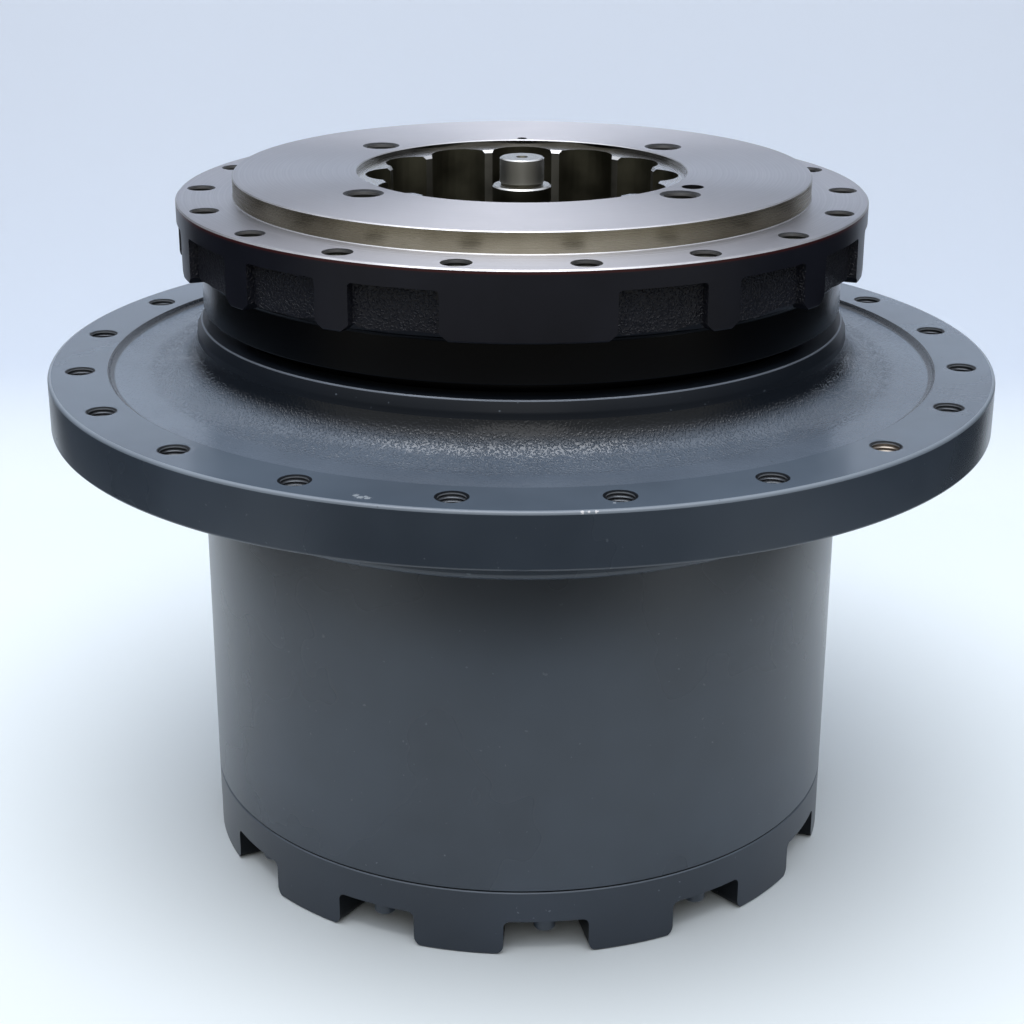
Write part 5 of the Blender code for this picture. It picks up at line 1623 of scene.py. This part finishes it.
# %% Place the screws and the plugs
screw_finish = hub_paint("screw_paint", DRUM_TONES, roughness=0.38)
plug_finish = oiled_steel("plug_black_oxide", screen(52, 53, 55), roughness=0.42, metallic=0.7)
screw_shape = screw_mesh()
for index in range(COVER_SCREWS):
    centre = on_circle(COVER_SCREW_CIRCLE, NOTCH_BEARING + 2 * math.pi * index / COVER_SCREWS)
    node = f"cover_screw_{index + 1:02d}"
    place_copy(screw_shape, node + "_head", screw_finish, centre, "housing", "screw_steel", node)
plug_shape = plug_mesh()
for node, bearing in PLUG_BEARINGS.items():
    centre = on_circle(PLUG_CIRCLE, bearing)
    place_copy(plug_shape, node + "_socket", plug_finish, centre, "housing", "screw_steel", node)

# %% [markdown]
# ## The input shaft
#
# The motor drives this shaft. Only its ground end stands out of the bore: a chamfered stub with a
# centre hole, on a bright shoulder, over a darker body. The first sun wheel is cut on its lower end,
# with true involute flanks, so that it looks right when the gearbox is taken apart.

# %% Build the input shaft
SHAFT_LOW, SHAFT_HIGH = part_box("input_shaft")
STUB_RADIUS = 0.0125
STUB_CHAMFER = 0.0006
STUB_CHAMFER_WIDTH = 0.0007
RELIEF_TOP = 0.0012
RELIEF_END = 0.0018
CENTRE_MOUTH = 0.0034
CENTRE_BORE = 0.0018
CENTRE_CONE = 0.0030
CENTRE_DEPTH = 0.0050
SHAFT_SHOULDER = 0.3875
SHOULDER_BREAK = 0.0008
SHAFT_RADIUS = 0.0166
JOURNAL = 0.014
SUN_FOOT = 0.0555
SUN_LAP = 0.002
SUN_HEAD = 0.081
GEAR_MODULE = 0.006
SUN_TEETH = 12
PRESSURE_ANGLE = math.radians(25.0)
TOOTH_PLAY = 0.0006
ROOT_DEPTH = 1.25
TIP_REACH = 0.0002
FLANK_STEPS = 6
SHAFT_BRIGHT, SHAFT_SIDE, SHAFT_BODY, SHAFT_GEAR = range(4)


def shaft_rows():
    rows = [
        (0.0, SHAFT_LOW.z, SHAFT_BODY),
        (JOURNAL, SHAFT_LOW.z, SHAFT_BODY),
        (JOURNAL, SUN_FOOT + SUN_LAP, SHAFT_BODY),
        (SHAFT_RADIUS, SUN_FOOT + SUN_LAP, SHAFT_BODY),
        (SHAFT_RADIUS, SHAFT_SHOULDER - SHOULDER_BREAK, SHAFT_BRIGHT),
        (SHAFT_RADIUS - SHOULDER_BREAK, SHAFT_SHOULDER, SHAFT_BRIGHT),
        (STUB_RADIUS - STUB_CHAMFER, SHAFT_SHOULDER, SHAFT_BODY),
        (STUB_RADIUS - STUB_CHAMFER, SHAFT_SHOULDER + RELIEF_TOP, SHAFT_BODY),
        (STUB_RADIUS, SHAFT_SHOULDER + RELIEF_END, SHAFT_SIDE),
        (STUB_RADIUS, SHAFT_HIGH.z - STUB_CHAMFER, SHAFT_BRIGHT),
        (STUB_RADIUS - STUB_CHAMFER_WIDTH, SHAFT_HIGH.z, SHAFT_BRIGHT),
        (CENTRE_MOUTH, SHAFT_HIGH.z, SHAFT_BODY),
        (CENTRE_BORE, SHAFT_HIGH.z - CENTRE_CONE, SHAFT_BODY),
        (0.0, SHAFT_HIGH.z - CENTRE_DEPTH, SHAFT_BODY),
    ]
    return rows


# %% The sun wheel on the shaft
def involute(angle):
    return math.tan(angle) - angle


def sun_outline():
    """Twelve teeth; each flank follows the involute from the base circle to the tip."""
    pitch_radius = GEAR_MODULE * SUN_TEETH / 2
    base_radius = pitch_radius * math.cos(PRESSURE_ANGLE)
    root_radius = pitch_radius - ROOT_DEPTH * GEAR_MODULE
    tip_radius = pitch_radius + GEAR_MODULE
    at_pitch = math.pi / (2 * SUN_TEETH) - TOOTH_PLAY / (2 * pitch_radius) + involute(PRESSURE_ANGLE)
    flank = [(root_radius, at_pitch)]
    for step in range(FLANK_STEPS + 1):
        radius = base_radius + (tip_radius - base_radius) * step / FLANK_STEPS
        flank.append((radius, at_pitch - involute(math.acos(min(1.0, base_radius / radius)))))
    points = []
    for tooth in range(SUN_TEETH):
        middle = SUN_PHASE + 2 * math.pi * tooth / SUN_TEETH
        for radius, half in flank:
            points.append((radius * math.cos(middle - half), radius * math.sin(middle - half)))
        for radius, half in reversed(flank):
            points.append((radius * math.cos(middle + half), radius * math.sin(middle + half)))
    return points


def tooth_phase(node):
    """Direction of one tooth of a sun, read from its farthest corners."""
    corners = nodes[node].data.vertices
    tip = max(math.hypot(corner.co.x, corner.co.y) for corner in corners)
    angles = []
    for corner in corners:
        if math.hypot(corner.co.x, corner.co.y) > tip - TIP_REACH:
            angle = math.atan2(corner.co.y, corner.co.x) % (2 * math.pi / SUN_TEETH)
            angles.append(angle)
    wave = sum(complex(math.cos(SUN_TEETH * angle), math.sin(SUN_TEETH * angle)) for angle in angles)
    return math.atan2(wave.imag, wave.real) / SUN_TEETH


SUN_PHASE = tooth_phase("input_shaft")
print("first tooth of the sun points at", round(math.degrees(SUN_PHASE), 3), "degrees")

# %% Build and finish the shaft
SHAFT_RINGS = 2600.0
SHAFT_RING_BUMP = 0.1
shaft_finishes = [
    turned_steel(
        "shaft_ground", screen(196, 196, 194), screen(206, 206, 204), roughness=0.32, rings=SHAFT_RINGS,
        ring_bump=SHAFT_RING_BUMP,
    ),
    turned_steel(
        "shaft_side", screen(150, 149, 142), screen(166, 165, 158), roughness=0.44, rings=SHAFT_RINGS,
        ring_bump=SHAFT_RING_BUMP, brushed=0.5,
    ),
    oiled_steel("shaft_body", screen(104, 102, 90), roughness=0.40),
    oiled_steel("shaft_sun", screen(150, 148, 144), roughness=0.3),
]
mesh = bmesh.new()
add_turned(mesh, shaft_rows(), 3 * HOLE_STEPS)
shaft = new_object("input_shaft_ground", mesh, shaft_finishes)
tool = bmesh.new()
outline = sun_outline()
add_column(tool, [(SUN_FOOT, outline), (SUN_HEAD, outline)], [SHAFT_GEAR])
cut_piece(shaft, tool, shaft_finishes, "UNION")
smooth_piece(shaft)
dress(shaft, "input_shaft", "ground_steel", "input_shaft")

# %% [markdown]
# ## The pieces inside
#
# Gears, carriers, bearings and seals keep their measured shapes, because they fit each other closely.
# They only get their finishes: ground rings, oiled gears, brass cages, a bronze pad and rubber rings.

# %% Give the inner pieces their finishes
inner_finishes = {
    "ground": oiled_steel("inner_ground_steel", screen(176, 176, 178), roughness=0.2),
    "gear": oiled_steel("inner_gear_steel", screen(146, 143, 138), roughness=0.3),
    "cast": oiled_steel("inner_cast_iron", screen(98, 98, 100), roughness=0.5, metallic=0.8),
    "brass": oiled_steel("inner_cage_brass", screen(186, 158, 96), roughness=0.32),
    "bronze": oiled_steel("inner_thrust_bronze", screen(170, 128, 84), roughness=0.4),
    "oxide": oiled_steel("inner_black_oxide", screen(54, 55, 57), roughness=0.45, metallic=0.7),
    "rubber": dull_rubber(),
}
INNER_PIECES = {
    "ring_gear": "gear", "ring_gear_key": "ground", "cover_o_ring": "rubber", "thrust_pad": "bronze",
    "upper_bearing_inner": "ground", "upper_bearing_outer": "ground", "upper_bearing_ball": "brass",
    "lower_bearing_inner": "ground", "lower_bearing_outer": "ground", "lower_bearing_ball": "brass",
    "bearing_nut": "gear", "nut_lock_plate": "oxide", "seal_ring": "ground", "seal_toric": "rubber",
    "final_carrier": "cast", "final_planet": "gear", "final_planet_pin": "ground", "final_sun": "gear",
    "first_carrier": "cast", "first_planet": "gear", "first_planet_pin": "ground",
}


def finish_name(node):
    """The longest entry that the node's name starts with."""
    fitting = [entry for entry in INNER_PIECES if node.startswith(entry)]
    return INNER_PIECES[max(fitting, key=len)] if fitting else None


dressed = 0
for name, piece in nodes.items():
    finish = finish_name(name)
    if finish is None:
        continue
    piece.data.materials.clear()
    piece.data.materials.append(inner_finishes[finish])
    dressed += 1
print("inner pieces with a finish:", dressed)
